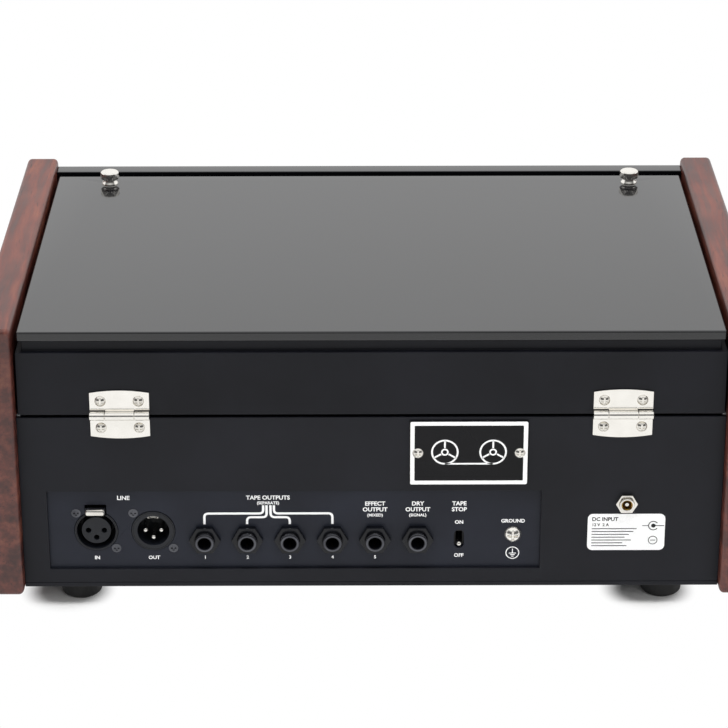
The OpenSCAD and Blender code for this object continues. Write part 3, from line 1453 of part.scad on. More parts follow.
module pilot_lamp() color([0.75, 0.10, 0.08]) on_front(x_lamp, row_low) {
    translate([0, 0, -sheet - lamp_deep]) cylinder(h = lamp_deep, r = lamp_d / 2 + 0.5);
    translate([0, 0, -sheet - 1]) cylinder(h = sheet + 1, r = lamp_d / 2 - 1);
    cylinder(h = lamp_rim, r = lamp_d / 2 + 1);
    translate([0, 0, lamp_rim - 0.1]) intersection() {
        sphere(lamp_d / 2);
        cylinder(h = lamp_d, r = lamp_d);
    }
}

bottom_plate();
rear_panel();
cheek_left();
cheek_right();
front_panel();
front_rail();
io_plate();
rubber_feet();
badge_plate();
xlr_socket_in();
xlr_socket_out();
xlr_insert();
jack_sockets();
jack_nuts();
dc_socket();
dc_nut();
stop_switch_body();
earth_terminal();
hinge_leaves_body();
body_screws();
deck_plate();
head_bridge();
tape_heads();
tape_guides();
tape_tray();
tape_loop();
motor();
drive_belt();
solenoid();
circuit_board();
reverb_tank();
meter_case();
meter_dial();
meter_window();
potentiometers();
toggle_bushing();
pilot_lamp();
lid_frame();
lid_panel();
hinge_leaves_lid();
lid_screws();
thumbscrew_left();
thumbscrew_right();
knob_input();
knob_bass();
knob_treble();
knob_rate();
knob_repeats();
knob_echo();
knob_reverb();
selector_knob();
power_toggle();
meter_needle();
xlr_latch();
stop_switch_lever();
capstan_flywheel();
motor_pulley();
pinch_roller();
pinch_arm();
solenoid_plunger();
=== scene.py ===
"""Looks of a table-top tape echo unit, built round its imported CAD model."""
import json
import math

import bmesh
import bpy
from mathutils import Matrix, Vector


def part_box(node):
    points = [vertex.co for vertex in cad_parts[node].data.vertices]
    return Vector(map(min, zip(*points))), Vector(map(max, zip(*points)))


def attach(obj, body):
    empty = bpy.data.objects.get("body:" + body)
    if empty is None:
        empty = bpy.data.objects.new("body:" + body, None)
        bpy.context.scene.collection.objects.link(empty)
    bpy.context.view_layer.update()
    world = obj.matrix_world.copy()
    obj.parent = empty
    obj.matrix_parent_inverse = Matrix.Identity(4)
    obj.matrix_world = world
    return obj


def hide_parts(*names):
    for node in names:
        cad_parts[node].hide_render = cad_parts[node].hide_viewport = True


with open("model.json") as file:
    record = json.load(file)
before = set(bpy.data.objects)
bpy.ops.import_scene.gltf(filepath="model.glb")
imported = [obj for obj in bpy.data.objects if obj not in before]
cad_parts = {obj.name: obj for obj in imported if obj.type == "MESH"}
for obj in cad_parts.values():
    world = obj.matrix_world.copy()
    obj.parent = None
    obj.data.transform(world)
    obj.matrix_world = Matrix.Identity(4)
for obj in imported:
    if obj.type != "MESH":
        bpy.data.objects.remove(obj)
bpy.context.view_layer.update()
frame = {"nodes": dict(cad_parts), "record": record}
nodes = frame["nodes"]
MM = 0.001
CABINET = "cabinet"

# ---- Sizes in millimetres, read from the frame where a CAD piece has them ----


def node_box(name):
    low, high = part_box(name)
    return low / MM, high / MM


rear_low, rear_high = node_box("rear_panel")
kick_low, kick_high = node_box("front_panel")
rail_low, _ = node_box("front_rail")
Y_REAR = rear_high.y
Z_FLOOR = rear_low.z
Y_KICK = kick_low.y
SHEET = rear_high.y - rear_low.y
KICK_H = 27
Z_KICK = Z_FLOOR + KICK_H
LEAN = math.atan((rail_low.y - Y_KICK) / (kick_high.z - Z_KICK))
PRINT_T = 0.05


def on_rear(right, up, out=0.0):
    """Frame on the rear panel: x to the viewer's right, y up, z outwards."""
    return Matrix(((-1, 0, 0, -right), (0, 0, 1, Y_REAR + out), (0, 1, 0, Z_FLOOR + up), (0, 0, 0, 1)))


def on_plate(right, up, out=0.0):
    """The same on the connector plate, which lies one sheet behind."""
    return on_rear(right, up, out - SHEET)


def on_front(right, up, out=0.0):
    """Frame on the sloping panel: x to the right, y up the slope, z outwards."""
    s, c = math.sin(LEAN), math.cos(LEAN)
    origin = Vector((right, Y_KICK + up * s - out * c, Z_KICK + up * c + out * s))
    return Matrix(((1, 0, 0, origin.x), (0, s, -c, origin.y), (0, c, s, origin.z), (0, 0, 0, 1)))


def at(x, y, z):
    return Matrix.Translation((x, y, z))


# ---- Colours and nodes ----


def ink(code, alpha=1.0):
    """Linear colour from an sRGB hex code."""
    parts = [int(code[k:k + 2], 16) / 255 for k in (1, 3, 5)]
    return (*[p / 12.92 if p <= 0.04045 else ((p + 0.055) / 1.055) ** 2.4 for p in parts], alpha)


def per_mm(size):
    """Texture scale at which a pattern repeats about every size millimetres."""
    return 1000.0 / size


def add(tree, kind, inputs=None, **settings):
    """Adds a node with its settings; inputs are values, or sockets to link."""
    made = tree.nodes.new(kind)
    for key, value in settings.items():
        setattr(made, key, value)
    for key, value in (inputs or {}).items():
        if isinstance(value, bpy.types.NodeSocket):
            tree.links.new(value, made.inputs[key])
        else:
            made.inputs[key].default_value = value
    return made


def blank(name, **sockets):
    """Material with a Principled shader whose uniform values are set on its own sockets."""
    material = bpy.data.materials.new(name)
    material.use_nodes = True
    tree = material.node_tree
    tree.nodes.clear()
    shader = add(tree, "ShaderNodeBsdfPrincipled", {k.replace("_", " "): v for k, v in sockets.items()})
    out = add(tree, "ShaderNodeOutputMaterial")
    tree.links.new(shader.outputs["BSDF"], out.inputs["Surface"])
    where = add(tree, "ShaderNodeTexCoord").outputs["Object"]
    return material, tree, shader, where


def noise(tree, where, size, detail=2.0, rough=0.5, stretch=None):
    """Noise that varies about every size millimetres, drawn out along an axis by stretch."""
    if stretch:
        where = add(tree, "ShaderNodeMapping", {"Vector": where, "Scale": stretch}).outputs[0]
    return add(tree, "ShaderNodeTexNoise", {"Vector": where, "Scale": per_mm(size),
               "Detail": detail, "Roughness": rough}).outputs["Fac"]


def ramp(tree, factor, stops):
    """Colour ramp with stops of (position, hex code)."""
    made = add(tree, "ShaderNodeValToRGB", {"Fac": factor})
    while len(made.color_ramp.elements) < len(stops):
        made.color_ramp.elements.new(0.5)
    for element, (place, code) in zip(made.color_ramp.elements, stops):
        element.position = place
        element.color = ink(code)
    return made.outputs["Color"]


def span(tree, factor, low, high, start=0.3, end=0.7):
    """Stretches a 0 to 1 pattern to the range from low to high."""
    return add(tree, "ShaderNodeMapRange", {"Value": factor, "From Min": start, "From Max": end,
               "To Min": low, "To Max": high}).outputs["Result"]


def bump(tree, shader, height, depth, strength=1.0, below=None):
    """Bump of depth millimetres; below chains a coarser bump."""
    inputs = {"Height": height, "Distance": depth * MM, "Strength": strength}
    if below:
        inputs["Normal"] = below
    made = add(tree, "ShaderNodeBump", inputs)
    tree.links.new(made.outputs["Normal"], shader.inputs["Normal"])
    return made.outputs["Normal"]


def link(tree, source, shader, socket):
    tree.links.new(source, shader.inputs[socket])


# ---- Finishes ----


def powder_coat(name="powder_coated_steel", dark="#15161b", light="#1c1d23", rough=(0.34, 0.46)):
    """Satin powder coat on sheet steel: a fine orange peel that breaks up the highlights."""
    material, tree, shader, where = blank(name, Roughness=0.4)
    shader.inputs["Specular IOR Level"].default_value = 0.2
    peel = noise(tree, where, 0.9, 3)
    cloud = noise(tree, where, 45, 4)
    link(tree, ramp(tree, cloud, [(0.3, dark), (0.7, light)]), shader, "Base Color")
    link(tree, span(tree, cloud, *rough), shader, "Roughness")
    bump(tree, shader, peel, 0.012)
    return material


def cast_acrylic():
    """Polished black acrylic: a mirror-like face with faint wiping marks."""
    material, tree, shader, where = blank("polished_black_acrylic", Roughness=0.04)
    shader.inputs["IOR"].default_value = 1.55
    shader.inputs["Coat Weight"].default_value = 0.35
    shader.inputs["Coat IOR"].default_value = 1.5
    shader.inputs["Coat Roughness"].default_value = 0.02
    wiped = noise(tree, where, 60, 5, 0.6, stretch=(1.0, 0.35, 1.0))
    link(tree, ramp(tree, wiped, [(0.3, "#07080a"), (0.7, "#0b0c0f")]), shader, "Base Color")
    link(tree, span(tree, wiped, 0.03, 0.10), shader, "Roughness")
    bump(tree, shader, noise(tree, where, 90, 2), 0.05)
    return material


def oiled_hardwood():
    """Oiled red hardwood, planed along the grain: drawn-out fibres, open pores and soft flame figure."""
    material, tree, shader, where = blank("oiled_red_hardwood", Roughness=0.42)
    shader.inputs["Specular IOR Level"].default_value = 0.65
    shader.inputs["Coat Weight"].default_value = 0.08
    shader.inputs["Coat Roughness"].default_value = 0.25
    along = (1.0, 0.07, 1.0)
    warp = add(tree, "ShaderNodeTexNoise", {"Vector": where, "Scale": per_mm(70), "Detail": 2.0})
    bent = add(tree, "ShaderNodeVectorMath", {0: warp.outputs["Color"], 1: (0.012, 0.05, 0.012)},
               operation="MULTIPLY").outputs[0]
    grain_at = add(tree, "ShaderNodeVectorMath", {0: where, 1: bent}).outputs[0]
    rings = noise(tree, grain_at, 5, 4, 0.6, stretch=along)
    fibre = noise(tree, grain_at, 0.9, 3, 0.6, stretch=(1.0, 0.035, 1.0))
    figure = noise(tree, where, 26, 3, 0.55, stretch=(1.0, 0.8, 0.6))
    wood = ramp(tree, rings, [(0.34, "#2a0d08"), (0.46, "#451d15"), (0.56, "#5d2a20"), (0.68, "#72402f")])
    flame = ramp(tree, figure, [(0.36, "#3a1711"), (0.52, "#572920"), (0.68, "#703d2f")])
    body = add(tree, "ShaderNodeMix", {"Factor": 0.3, 6: wood, 7: flame}, data_type="RGBA").outputs[2]
    pores = span(tree, fibre, 0.0, 1.0, 0.62, 0.72)
    dark = add(tree, "ShaderNodeMix", {0: pores, 6: body, 7: ink("#200b08")}, data_type="RGBA").outputs[2]
    link(tree, dark, shader, "Base Color")
    link(tree, span(tree, rings, 0.36, 0.5), shader, "Roughness")
    bump(tree, shader, fibre, 0.06, 0.6)
    return material


def moulded_plastic(name="moulded_black_plastic", dark="#0c0c0d", light="#161618", grit=0.35,
                    rough=(0.38, 0.5)):
    """Moulded glass-filled plastic: a fine spark-eroded grain and a soft sheen."""
    material, tree, shader, where = blank(name, Roughness=0.45)
    shader.inputs["Specular IOR Level"].default_value = 0.35
    cloud = noise(tree, where, 12, 3)
    link(tree, ramp(tree, cloud, [(0.3, dark), (0.7, light)]), shader, "Base Color")
    link(tree, span(tree, cloud, *rough), shader, "Roughness")
    bump(tree, shader, noise(tree, where, grit, 2), 0.015)
    return material


def moulded_rubber():
    """Moulded rubber: nearly black, dull, with bloom where it has been handled."""
    material, tree, shader, where = blank("moulded_rubber", Roughness=0.75)
    bloom = noise(tree, where, 6, 4, 0.6)
    link(tree, ramp(tree, bloom, [(0.35, "#0b0b0c"), (0.7, "#1b1b1d")]), shader, "Base Color")
    link(tree, span(tree, bloom, 0.62, 0.85), shader, "Roughness")
    bump(tree, shader, noise(tree, where, 0.6, 3), 0.03)
    return material


def plated_metal(name, dark, light, rough=(0.12, 0.24), draw=(1.0, 1.0, 1.0), size=0.6, depth=0.004):
    """Plated or machined metal with hairline marks drawn out along one axis."""
    material, tree, shader, where = blank(name, Metallic=1.0, Roughness=0.2)
    lines = noise(tree, where, size, 3, 0.6, stretch=draw)
    cloud = noise(tree, where, 9, 3)
    link(tree, ramp(tree, cloud, [(0.3, dark), (0.7, light)]), shader, "Base Color")
    link(tree, span(tree, lines, *rough), shader, "Roughness")
    bump(tree, shader, lines, depth)
    return material


def screen_print(name="white_print", dark="#f2f2f2", light="#fdfdfd"):
    """Screen-printed ink, a little thinner here and there."""
    material, tree, shader, where = blank(name, Roughness=0.55)
    thin = noise(tree, where, 0.8, 3)
    link(tree, ramp(tree, thin, [(0.3, dark), (0.6, light)]), shader, "Base Color")
    bump(tree, shader, thin, 0.01)
    return material


def clear_window():
    """Clear acrylic window: polished, with faint handling haze."""
    material, tree, shader, where = blank("clear_acrylic", Roughness=0.03)
    shader.inputs["Transmission Weight"].default_value = 1.0
    shader.inputs["IOR"].default_value = 1.49
    shader.inputs["Base Color"].default_value = ink("#f4f7f8")
    link(tree, span(tree, noise(tree, where, 14, 3), 0.02, 0.06), shader, "Roughness")
    return material


def lens_red():
    """Tinted acrylic lens over a lamp."""
    material, tree, shader, where = blank("red_acrylic_lens", Roughness=0.12)
    shader.inputs["Coat Weight"].default_value = 0.6
    shade = noise(tree, where, 3, 2)
    link(tree, ramp(tree, shade, [(0.3, "#7a0d0a"), (0.7, "#b3201a")]), shader, "Base Color")
    return material


def magnetic_film():
    """Oxide-coated polyester tape: dark brown, with a satin shine along its length."""
    material, tree, shader, where = blank("oxide_coated_film", Roughness=0.3)
    shade = noise(tree, where, 8, 3)
    link(tree, ramp(tree, shade, [(0.3, "#22120b"), (0.7, "#3a2115")]), shader, "Base Color")
    link(tree, span(tree, shade, 0.22, 0.4), shader, "Roughness")
    return material


def solder_mask():
    """Green solder mask over copper tracks that run in steps."""
    material, tree, shader, where = blank("green_solder_mask", Roughness=0.3)
    cells = add(tree, "ShaderNodeTexVoronoi", {"Vector": where, "Scale": per_mm(6)},
                distance="MANHATTAN", feature="F1").outputs["Distance"]
    link(tree, ramp(tree, cells, [(0.2, "#0f3b22"), (0.5, "#1a5a34")]), shader, "Base Color")
    bump(tree, shader, cells, 0.03)
    return material


ENAMEL = powder_coat()
PLATE_ENAMEL = powder_coat("powder_coated_plate", "#1c1e26", "#252832")
BADGE_ENAMEL = powder_coat("gloss_badge_enamel", "#0b0b0d", "#111114", (0.2, 0.3))
ACRYLIC = cast_acrylic()
WOOD = oiled_hardwood()
PLASTIC = moulded_plastic()
KNOB_PLASTIC = moulded_plastic("moulded_knob_plastic", "#101011", "#1b1b1d", 0.5, (0.3, 0.42))
RUBBER = moulded_rubber()
NICKEL = plated_metal("bright_nickel", "#dedad2", "#f4f1ea", (0.08, 0.18))
SATIN_NICKEL = plated_metal("satin_nickel", "#f3f0e9", "#fcf9f3", (0.14, 0.24), (1.0, 8.0, 8.0), 1.2)
BLACKED = plated_metal("blackened_steel", "#4a4b50", "#66676c", (0.16, 0.26))
STEEL = plated_metal("zinc_plated_steel", "#a9adb0", "#c6c9c8", (0.28, 0.42), (0.06, 1.0, 1.0), 0.8)
TURNED = plated_metal("turned_steel", "#b5b6b6", "#d6d6d4", (0.14, 0.26), (1.0, 1.0, 6.0), 0.9)
BRASS = plated_metal("turned_brass", "#a8853e", "#c9a45a", (0.16, 0.28), (1.0, 1.0, 5.0), 0.8)
PRINT = screen_print()
LABEL = screen_print("white_label_film", "#f4f4f4", "#fdfdfd")
LABEL_INK = screen_print("black_label_ink", "#0c0c0e", "#151517")
DIAL = screen_print("cream_dial_card", "#e6ddc2", "#f0e8d0")
WINDOW = clear_window()
LENS = lens_red()
FILM = magnetic_film()
BOARD = solder_mask()
SHELL = moulded_plastic("moulded_socket_shell", "#121419", "#1a1d24", 0.4, (0.28, 0.4))
JACK = moulded_plastic("moulded_jack_plastic", "#0b0c10", "#12141a", 0.3, (0.16, 0.26))
# A darker copy of the chassis powder coat for the whole lid frame: painted shade, standing for the shadow in
# the recess under the acrylic panel's overhang
LID_ENAMEL_PAINTED_SHADE = powder_coat("powder_coated_lid_painted_shade", "#101116", "#17181e", (0.32, 0.42))
RED_INK = screen_print("red_dial_ink", "#8c1410", "#a81c16")

# ---- Meshes ----

CREASE = 47
bodies = frame["record"]["behaviour"]["bodies"]
BODY_OF = {node: body for body, held in bodies.items() for node in held}


def settle(bm, name, material, place=None, body=CABINET, stands_for=(), turn_out=True):
    """Turns a bmesh in millimetres into a piece with smooth faces and crisp edges."""
    if place is not None:
        bm.transform(place)
    bm.transform(Matrix.Scale(MM, 4))
    if turn_out:
        bmesh.ops.recalc_face_normals(bm, faces=bm.faces)
    mesh = bpy.data.meshes.new(name)
    bm.to_mesh(mesh)
    bm.free()
    return enrol(mesh, name, material, body, stands_for)


def enrol(mesh, name, material, body, stands_for=()):
    """Links a finished mesh as a piece; large faces keep their flat shading beside rounded edges."""
    mesh.materials.clear()
    mesh.materials.append(material)
    mesh.shade_smooth()
    mesh.set_sharp_from_angle(angle=math.radians(CREASE))
    piece = bpy.data.objects.new(name, mesh)
    bpy.context.collection.objects.link(piece)
    weigh = piece.modifiers.new("weigh", "WEIGHTED_NORMAL")
    weigh.keep_sharp = True
    seen = piece.evaluated_get(bpy.context.evaluated_depsgraph_get())
    shaded = bpy.data.meshes.new_from_object(seen)
    piece.modifiers.clear()
    piece.data = shaded
    shaded.name = name
    bpy.data.meshes.remove(mesh)
    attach(piece, body)
    if stands_for:
        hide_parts(*stands_for)
    return piece


def prism(outline, low, high, bm=None):
    """Solid with the outline as its plan."""
    bm = bm or bmesh.new()
    under = [bm.verts.new((x, y, low)) for x, y in outline]
    over = [bm.verts.new((x, y, high)) for x, y in outline]
    count = len(outline)
    bm.faces.new(list(reversed(under)))
    bm.faces.new(over)
    for k in range(count):
        bm.faces.new((under[k], under[(k + 1) % count], over[(k + 1) % count], over[k]))
    return bm


def lathe(profile, steps=48, bm=None):
    """Turned solid from (radius, height) points; a radius of 0 closes an end."""
    bm = bm or bmesh.new()
    rings = []
    for radius, height in profile:
        if radius < 1e-6:
            rings.append([bm.verts.new((0, 0, height))] * steps)
        else:
            rings.append([bm.verts.new((radius * math.cos(2 * math.pi * k / steps),
                                        radius * math.sin(2 * math.pi * k / steps), height))
                          for k in range(steps)])
    for lower, upper in zip(rings, rings[1:]):
        for k in range(steps):
            corners = [lower[k], lower[(k + 1) % steps], upper[(k + 1) % steps], upper[k]]
            corners = list(dict.fromkeys(corners))
            if len(corners) > 2:
                bm.faces.new(corners)
    return bm


def arc(radius, start, end, steps, centre=(0, 0)):
    """Points on an arc, angles in degrees."""
    return [(centre[0] + radius * math.cos(math.radians(start + (end - start) * k / steps)),
             centre[1] + radius * math.sin(math.radians(start + (end - start) * k / steps)))
            for k in range(steps + 1)]


def rounded(width, height, radius, steps=6):
    """Outline of a rectangle with round corners."""
    x, y = width / 2 - radius, height / 2 - radius
    return [p for cx, cy, start in ((x, y, 0), (-x, y, 90), (-x, -y, 180), (x, -y, 270))
            for p in arc(radius, start, start + 90, steps, (cx, cy))]


def round_edges(bm, width, segments=2, angle=30):
    """Rounds every edge that turns by more than the angle."""
    sharp = [e for e in bm.edges if len(e.link_faces) == 2
             and e.calc_face_angle(0.0) > math.radians(angle)]
    bmesh.ops.bevel(bm, geom=sharp, offset=width, segments=segments, profile=0.5,
                    affect="EDGES", clamp_overlap=True)
    return bm


def joined(parts):
    """One bmesh from several (bmesh, place) pairs."""
    whole = bmesh.new()
    for part, place in parts:
        part.transform(place)
        mesh = bpy.data.meshes.new("part")
        part.to_mesh(mesh)
        part.free()
        whole.from_mesh(mesh)
        bpy.data.meshes.remove(mesh)
    return whole


def eased(node, material, edge, segments=2, angle=40):
    """A CAD piece with its sharp edges eased, as on the real pressed, moulded or turned piece."""
    bm = bmesh.new()
    bm.from_mesh(nodes[node].data)
    bmesh.ops.remove_doubles(bm, verts=bm.verts, dist=2e-6)
    bmesh.ops.dissolve_limit(bm, angle_limit=math.radians(1.0), verts=bm.verts, edges=bm.edges)
    bm.transform(Matrix.Scale(1 / MM, 4))
    if edge > 0:
        sharp = [e for e in bm.edges if len(e.link_faces) == 2
                 and e.calc_face_angle(0.0) > math.radians(angle)]
        bmesh.ops.bevel(bm, geom=sharp, offset=edge, segments=segments, profile=0.5,
                        affect="EDGES", clamp_overlap=False)
        bmesh.ops.triangulate(bm, faces=[f for f in bm.faces if len(f.verts) > 4])
    return settle(bm, node + "_finished", material, body=BODY_OF[node],
                  stands_for=(node,), turn_out=False)


def dress(node, material):
    """A CAD piece whose shape is right keeps it and takes its finish."""
    mesh = nodes[node].data
    mesh.materials.clear()
    mesh.materials.append(material)


# ---- Repeats ----


def copies_tree():
    """Geometry node tree that sets copies of the item round an arc or along a row."""
    tree = bpy.data.node_groups.new("copies_on_a_path", "GeometryNodeTree")
    face = tree.interface
    face.new_socket("Item", in_out="INPUT", socket_type="NodeSocketGeometry")
    for name, kind in (("Count", "NodeSocketInt"), ("Radius", "NodeSocketFloat"),
                       ("Start", "NodeSocketFloat"), ("Step", "NodeSocketFloat"),
                       ("Pitch", "NodeSocketFloat"), ("Finish", "NodeSocketMaterial")):
        face.new_socket(name, in_out="INPUT", socket_type=kind)
    face.new_socket("Copies", in_out="OUTPUT", socket_type="NodeSocketGeometry")
    given = add(tree, "NodeGroupInput").outputs
    index = add(tree, "GeometryNodeInputIndex").outputs[0]
    angle = add(tree, "ShaderNodeMath", {0: index, 1: given["Step"], 2: given["Start"]},
                operation="MULTIPLY_ADD").outputs[0]
    cosine = add(tree, "ShaderNodeMath", {0: angle}, operation="COSINE").outputs[0]
    sine = add(tree, "ShaderNodeMath", {0: angle}, operation="SINE").outputs[0]
    across = add(tree, "ShaderNodeMath", {0: cosine, 1: given["Radius"]}, operation="MULTIPLY").outputs[0]
    shift = add(tree, "ShaderNodeMath", {0: index, 1: given["Pitch"], 2: across},
                operation="MULTIPLY_ADD").outputs[0]
    up = add(tree, "ShaderNodeMath", {0: sine, 1: given["Radius"]}, operation="MULTIPLY").outputs[0]
    spot = add(tree, "ShaderNodeCombineXYZ", {"X": shift, "Y": up}).outputs[0]
    turn = add(tree, "ShaderNodeCombineXYZ", {"Z": angle}).outputs[0]
    points = add(tree, "GeometryNodePoints", {"Count": given["Count"], "Position": spot}).outputs[0]
    rotation = add(tree, "FunctionNodeEulerToRotation", {0: turn}).outputs[0]
    placed = add(tree, "GeometryNodeInstanceOnPoints", {"Points": points, "Instance": given["Item"],
                 "Rotation": rotation}).outputs[0]
    real = add(tree, "GeometryNodeRealizeInstances", {0: placed}).outputs[0]
    done = add(tree, "GeometryNodeSetMaterial", {"Geometry": real, "Material": given["Finish"]}).outputs[0]
    tree.links.new(done, add(tree, "NodeGroupOutput").inputs["Copies"])
    return tree


COPIES = copies_tree()


def copies(item, count, material, radius=0.0, start=0.0, step=0.0, pitch=0.0):
    """Mesh in millimetres: the item, drawn at the origin, set round an arc or along a row."""
    mesh = bpy.data.meshes.new("item")
    item.to_mesh(mesh)
    item.free()
    holder = bpy.data.objects.new("item", mesh)
    bpy.context.collection.objects.link(holder)
    modifier = holder.modifiers.new("copies", "NODES")
    modifier.node_group = COPIES
    values = {"Count": count, "Radius": float(radius), "Start": math.radians(start),
              "Step": math.radians(step), "Pitch": float(pitch), "Finish": material}
    for socket in COPIES.interface.items_tree:
        if socket.in_out == "INPUT" and socket.name in values:
            modifier[socket.identifier] = values[socket.name]
    seen = holder.evaluated_get(bpy.context.evaluated_depsgraph_get())
    result = bpy.data.meshes.new_from_object(seen)
    bm = bmesh.new()
    bm.from_mesh(result)
    bpy.data.objects.remove(holder)
    bpy.data.meshes.remove(mesh)
    bpy.data.meshes.remove(result)
    return bm


# ---- Printed marks ----

# Height of a capital, as a share of the font size
CAP_SHARE = 0.729


def words(text, size, place, align="CENTER", weight=0.08):
    """Lettering as a thin flat mesh; size is the height of a capital."""
    curve = bpy.data.curves.new(text, "FONT")
    curve.body = text
    curve.size = size / CAP_SHARE
    curve.align_x = align
    curve.offset = weight * size / 2
    curve.resolution_u = 3
    holder = bpy.data.objects.new(text, curve)
    bpy.context.collection.objects.link(holder)
    seen = holder.evaluated_get(bpy.context.evaluated_depsgraph_get())
    mesh = bpy.data.meshes.new_from_object(seen)
    bpy.data.objects.remove(holder)
    bm = bmesh.new()
    bm.from_mesh(mesh)
    bpy.data.meshes.remove(mesh)
    bm.transform(at(0, -size / 2, 0))
    return bm, place


def stroke(points, width, bend=0.0, steps=6):
    """Flat line through the points, with its corners rounded by bend."""
    path = [Vector(points[0])]
    for before, here, after in zip(points, points[1:], points[2:]):
        before, here, after = Vector(before), Vector(here), Vector(after)
        come, go = (here - before).normalized(), (after - here).normalized()
        turn = come.angle_signed(go)
        cut = bend * abs(math.tan(turn / 2))
        first, last = here - come * cut, here + go * cut
        for k in range(steps + 1):
            t = k / steps
            path.append(first * (1 - t) ** 2 + here * 2 * t * (1 - t) + last * t ** 2)
    path.append(Vector(points[-1]))
    bm = bmesh.new()
    sides = []
    for k, p in enumerate(path):
        ahead = path[min(k + 1, len(path) - 1)] - path[max(k - 1, 0)]
        ahead = ahead.normalized() if ahead.length > 1e-9 else Vector((1, 0))
        aside = Vector((-ahead.y, ahead.x)) * width / 2
        sides.append((bm.verts.new((*(p + aside), 0)), bm.verts.new((*(p - aside), 0))))
    for (a, b), (c, d) in zip(sides, sides[1:]):
        bm.faces.new((a, b, d, c))
    return bm


def ring(radius, width, start=0, end=360, steps=48):
    """Flat ring or arc."""
    bm = bmesh.new()
    outer = [bm.verts.new((x, y, 0)) for x, y in arc(radius + width / 2, start, end, steps)]
    inner = [bm.verts.new((x, y, 0)) for x, y in arc(radius - width / 2, start, end, steps)]
    for k in range(steps):
        bm.faces.new((outer[k], outer[k + 1], inner[k + 1], inner[k]))
    bmesh.ops.remove_doubles(bm, verts=bm.verts, dist=0.001)
    return bm


def printed(name, marks, material, lift, body=CABINET):
    """Joins flat marks into one piece of ink that faces out of its surface."""
    bm = joined(marks)
    for face in bm.faces:
        if face.normal.dot(lift) < 0:
            face.normal_flip()
    return settle(bm, name, material, body=body, turn_out=False)

# ---- Finish of each CAD piece ----

# Pieces whose edges are eased: the finish, and the radius of the edge in millimetres
EASED = {
    "bottom_plate": (ENAMEL, 0.4), "rear_panel": (ENAMEL, 0.3), "front_panel": (ENAMEL, 0.35),
    "front_rail": (ACRYLIC, 0.5), "io_plate": (PLATE_ENAMEL, 0.2), "badge_plate": (BADGE_ENAMEL, 0.25),
    "cheek_left": (WOOD, 0.0), "cheek_right": (WOOD, 0.0), "rubber_feet": (RUBBER, 0.5),
    "xlr_socket_in": (SHELL, 0.2), "xlr_socket_out": (SHELL, 0.2), "xlr_latch": (NICKEL, 0.5),
    "jack_sockets": (JACK, 0.25), "jack_nuts": (JACK, 0.3), "dc_nut": (NICKEL, 0.25),
    "dc_socket": (NICKEL, 0.2), "stop_switch_body": (PLASTIC, 0.1),
    "hinge_leaves_body": (SATIN_NICKEL, 0.12), "hinge_leaves_lid": (SATIN_NICKEL, 0.12),
    "lid_frame": (LID_ENAMEL_PAINTED_SHADE, 0.35), "lid_panel": (ACRYLIC, 0.9),
    "deck_plate": (STEEL, 0.3), "head_bridge": (SATIN_NICKEL, 0.3), "tape_tray": (PLASTIC, 0.4),
    "motor": (STEEL, 0.5), "solenoid": (STEEL, 0.4), "reverb_tank": (STEEL, 0.25),
    "meter_case": (PLASTIC, 0.5), "pinch_arm": (SATIN_NICKEL, 0.25), "pinch_roller": (RUBBER, 0.4),
    "motor_pulley": (BRASS, 0.25), "solenoid_plunger": (TURNED, 0.25), "tape_guides": (TURNED, 0.2),
    "toggle_bushing": (NICKEL, 0.25), "pilot_lamp": (LENS, 0.25), "xlr_insert": (SHELL, 0.2),
    "body_screws": (NICKEL, 0.12), "lid_screws": (NICKEL, 0.12), "earth_terminal": (SATIN_NICKEL, 0.2),
    "tape_heads": (TURNED, 0.3), "power_toggle": (NICKEL, 0.1), "stop_switch_lever": (NICKEL, 0.05),
}
KNOBS = ["knob_input", "knob_bass", "knob_treble", "knob_rate", "knob_repeats", "knob_echo",
         "knob_reverb", "selector_knob"]
KNOB_EDGE = 0.35

for node, (finish, edge) in EASED.items():
    eased(node, finish, edge)

# The three-pin sockets' screws are blackened: they lie past this x and under this z, in metres
SOCKETS_FROM_X, SOCKETS_TO_Z = 0.095, 0.056
body_screws = bpy.data.objects["body_screws_finished"].data
body_screws.materials.append(BLACKED)
for face in body_screws.polygons:
    if face.center.x > SOCKETS_FROM_X and face.center.z < SOCKETS_TO_Z:
        face.material_index = 1
for node in KNOBS:
    eased(node, KNOB_PLASTIC, KNOB_EDGE)
for node, finish in {"potentiometers": STEEL, "capstan_flywheel": TURNED, "drive_belt": RUBBER,
                     "tape_loop": FILM, "circuit_board": BOARD, "meter_dial": DIAL,
                     "meter_window": WINDOW, "meter_needle": PLASTIC,
                     "thumbscrew_left": NICKEL, "thumbscrew_right": NICKEL}.items():
    dress(node, finish)

# ---- Rear fittings, in millimetres ----

JACK_LEFT, JACK_PITCH, JACK_UP, JACK_COUNT = 84.2, 21.5, 23.7, 6
NUMBERED_JACKS = 5
XLR_LEFT, XLR_PITCH, XLR_UP = 138.9, 28.8, 28.3
EARTH_RIGHT = 71.4
MIC_LEFT, MIC_PITCH, ROW_LOW, ROW_TOP = 152, 26, 34, 84
jack_places = [on_plate(-JACK_LEFT + k * JACK_PITCH, JACK_UP) for k in range(JACK_COUNT)]
jack_places += [on_front(-MIC_LEFT + k * MIC_PITCH, ROW_LOW) for k in range(2)]


def jack_threads():
    """The bushing's turned thread and its bright rolled mouth."""
    crest, root, pitch, first, last, bore = 5.0, 4.77, 0.75, 3.05, 6.0, 3.3
    profile = [(root, first)]
    count = int((last - 0.5 - first) / pitch)
    for k in range(count):
        low = first + k * pitch
        profile += [(root, low + 0.1), (crest, low + 0.35), (crest, low + 0.45), (root, low + 0.7)]
    profile += [(root + 0.05, last - 0.35), (root - 0.3, last + 0.02), (bore + 0.35, last + 0.02),
                (bore, last - 0.3)]
    parts = [(lathe(profile, 40), place) for place in jack_places]
    settle(joined(parts), "jack_threads", BLACKED, turn_out=True)


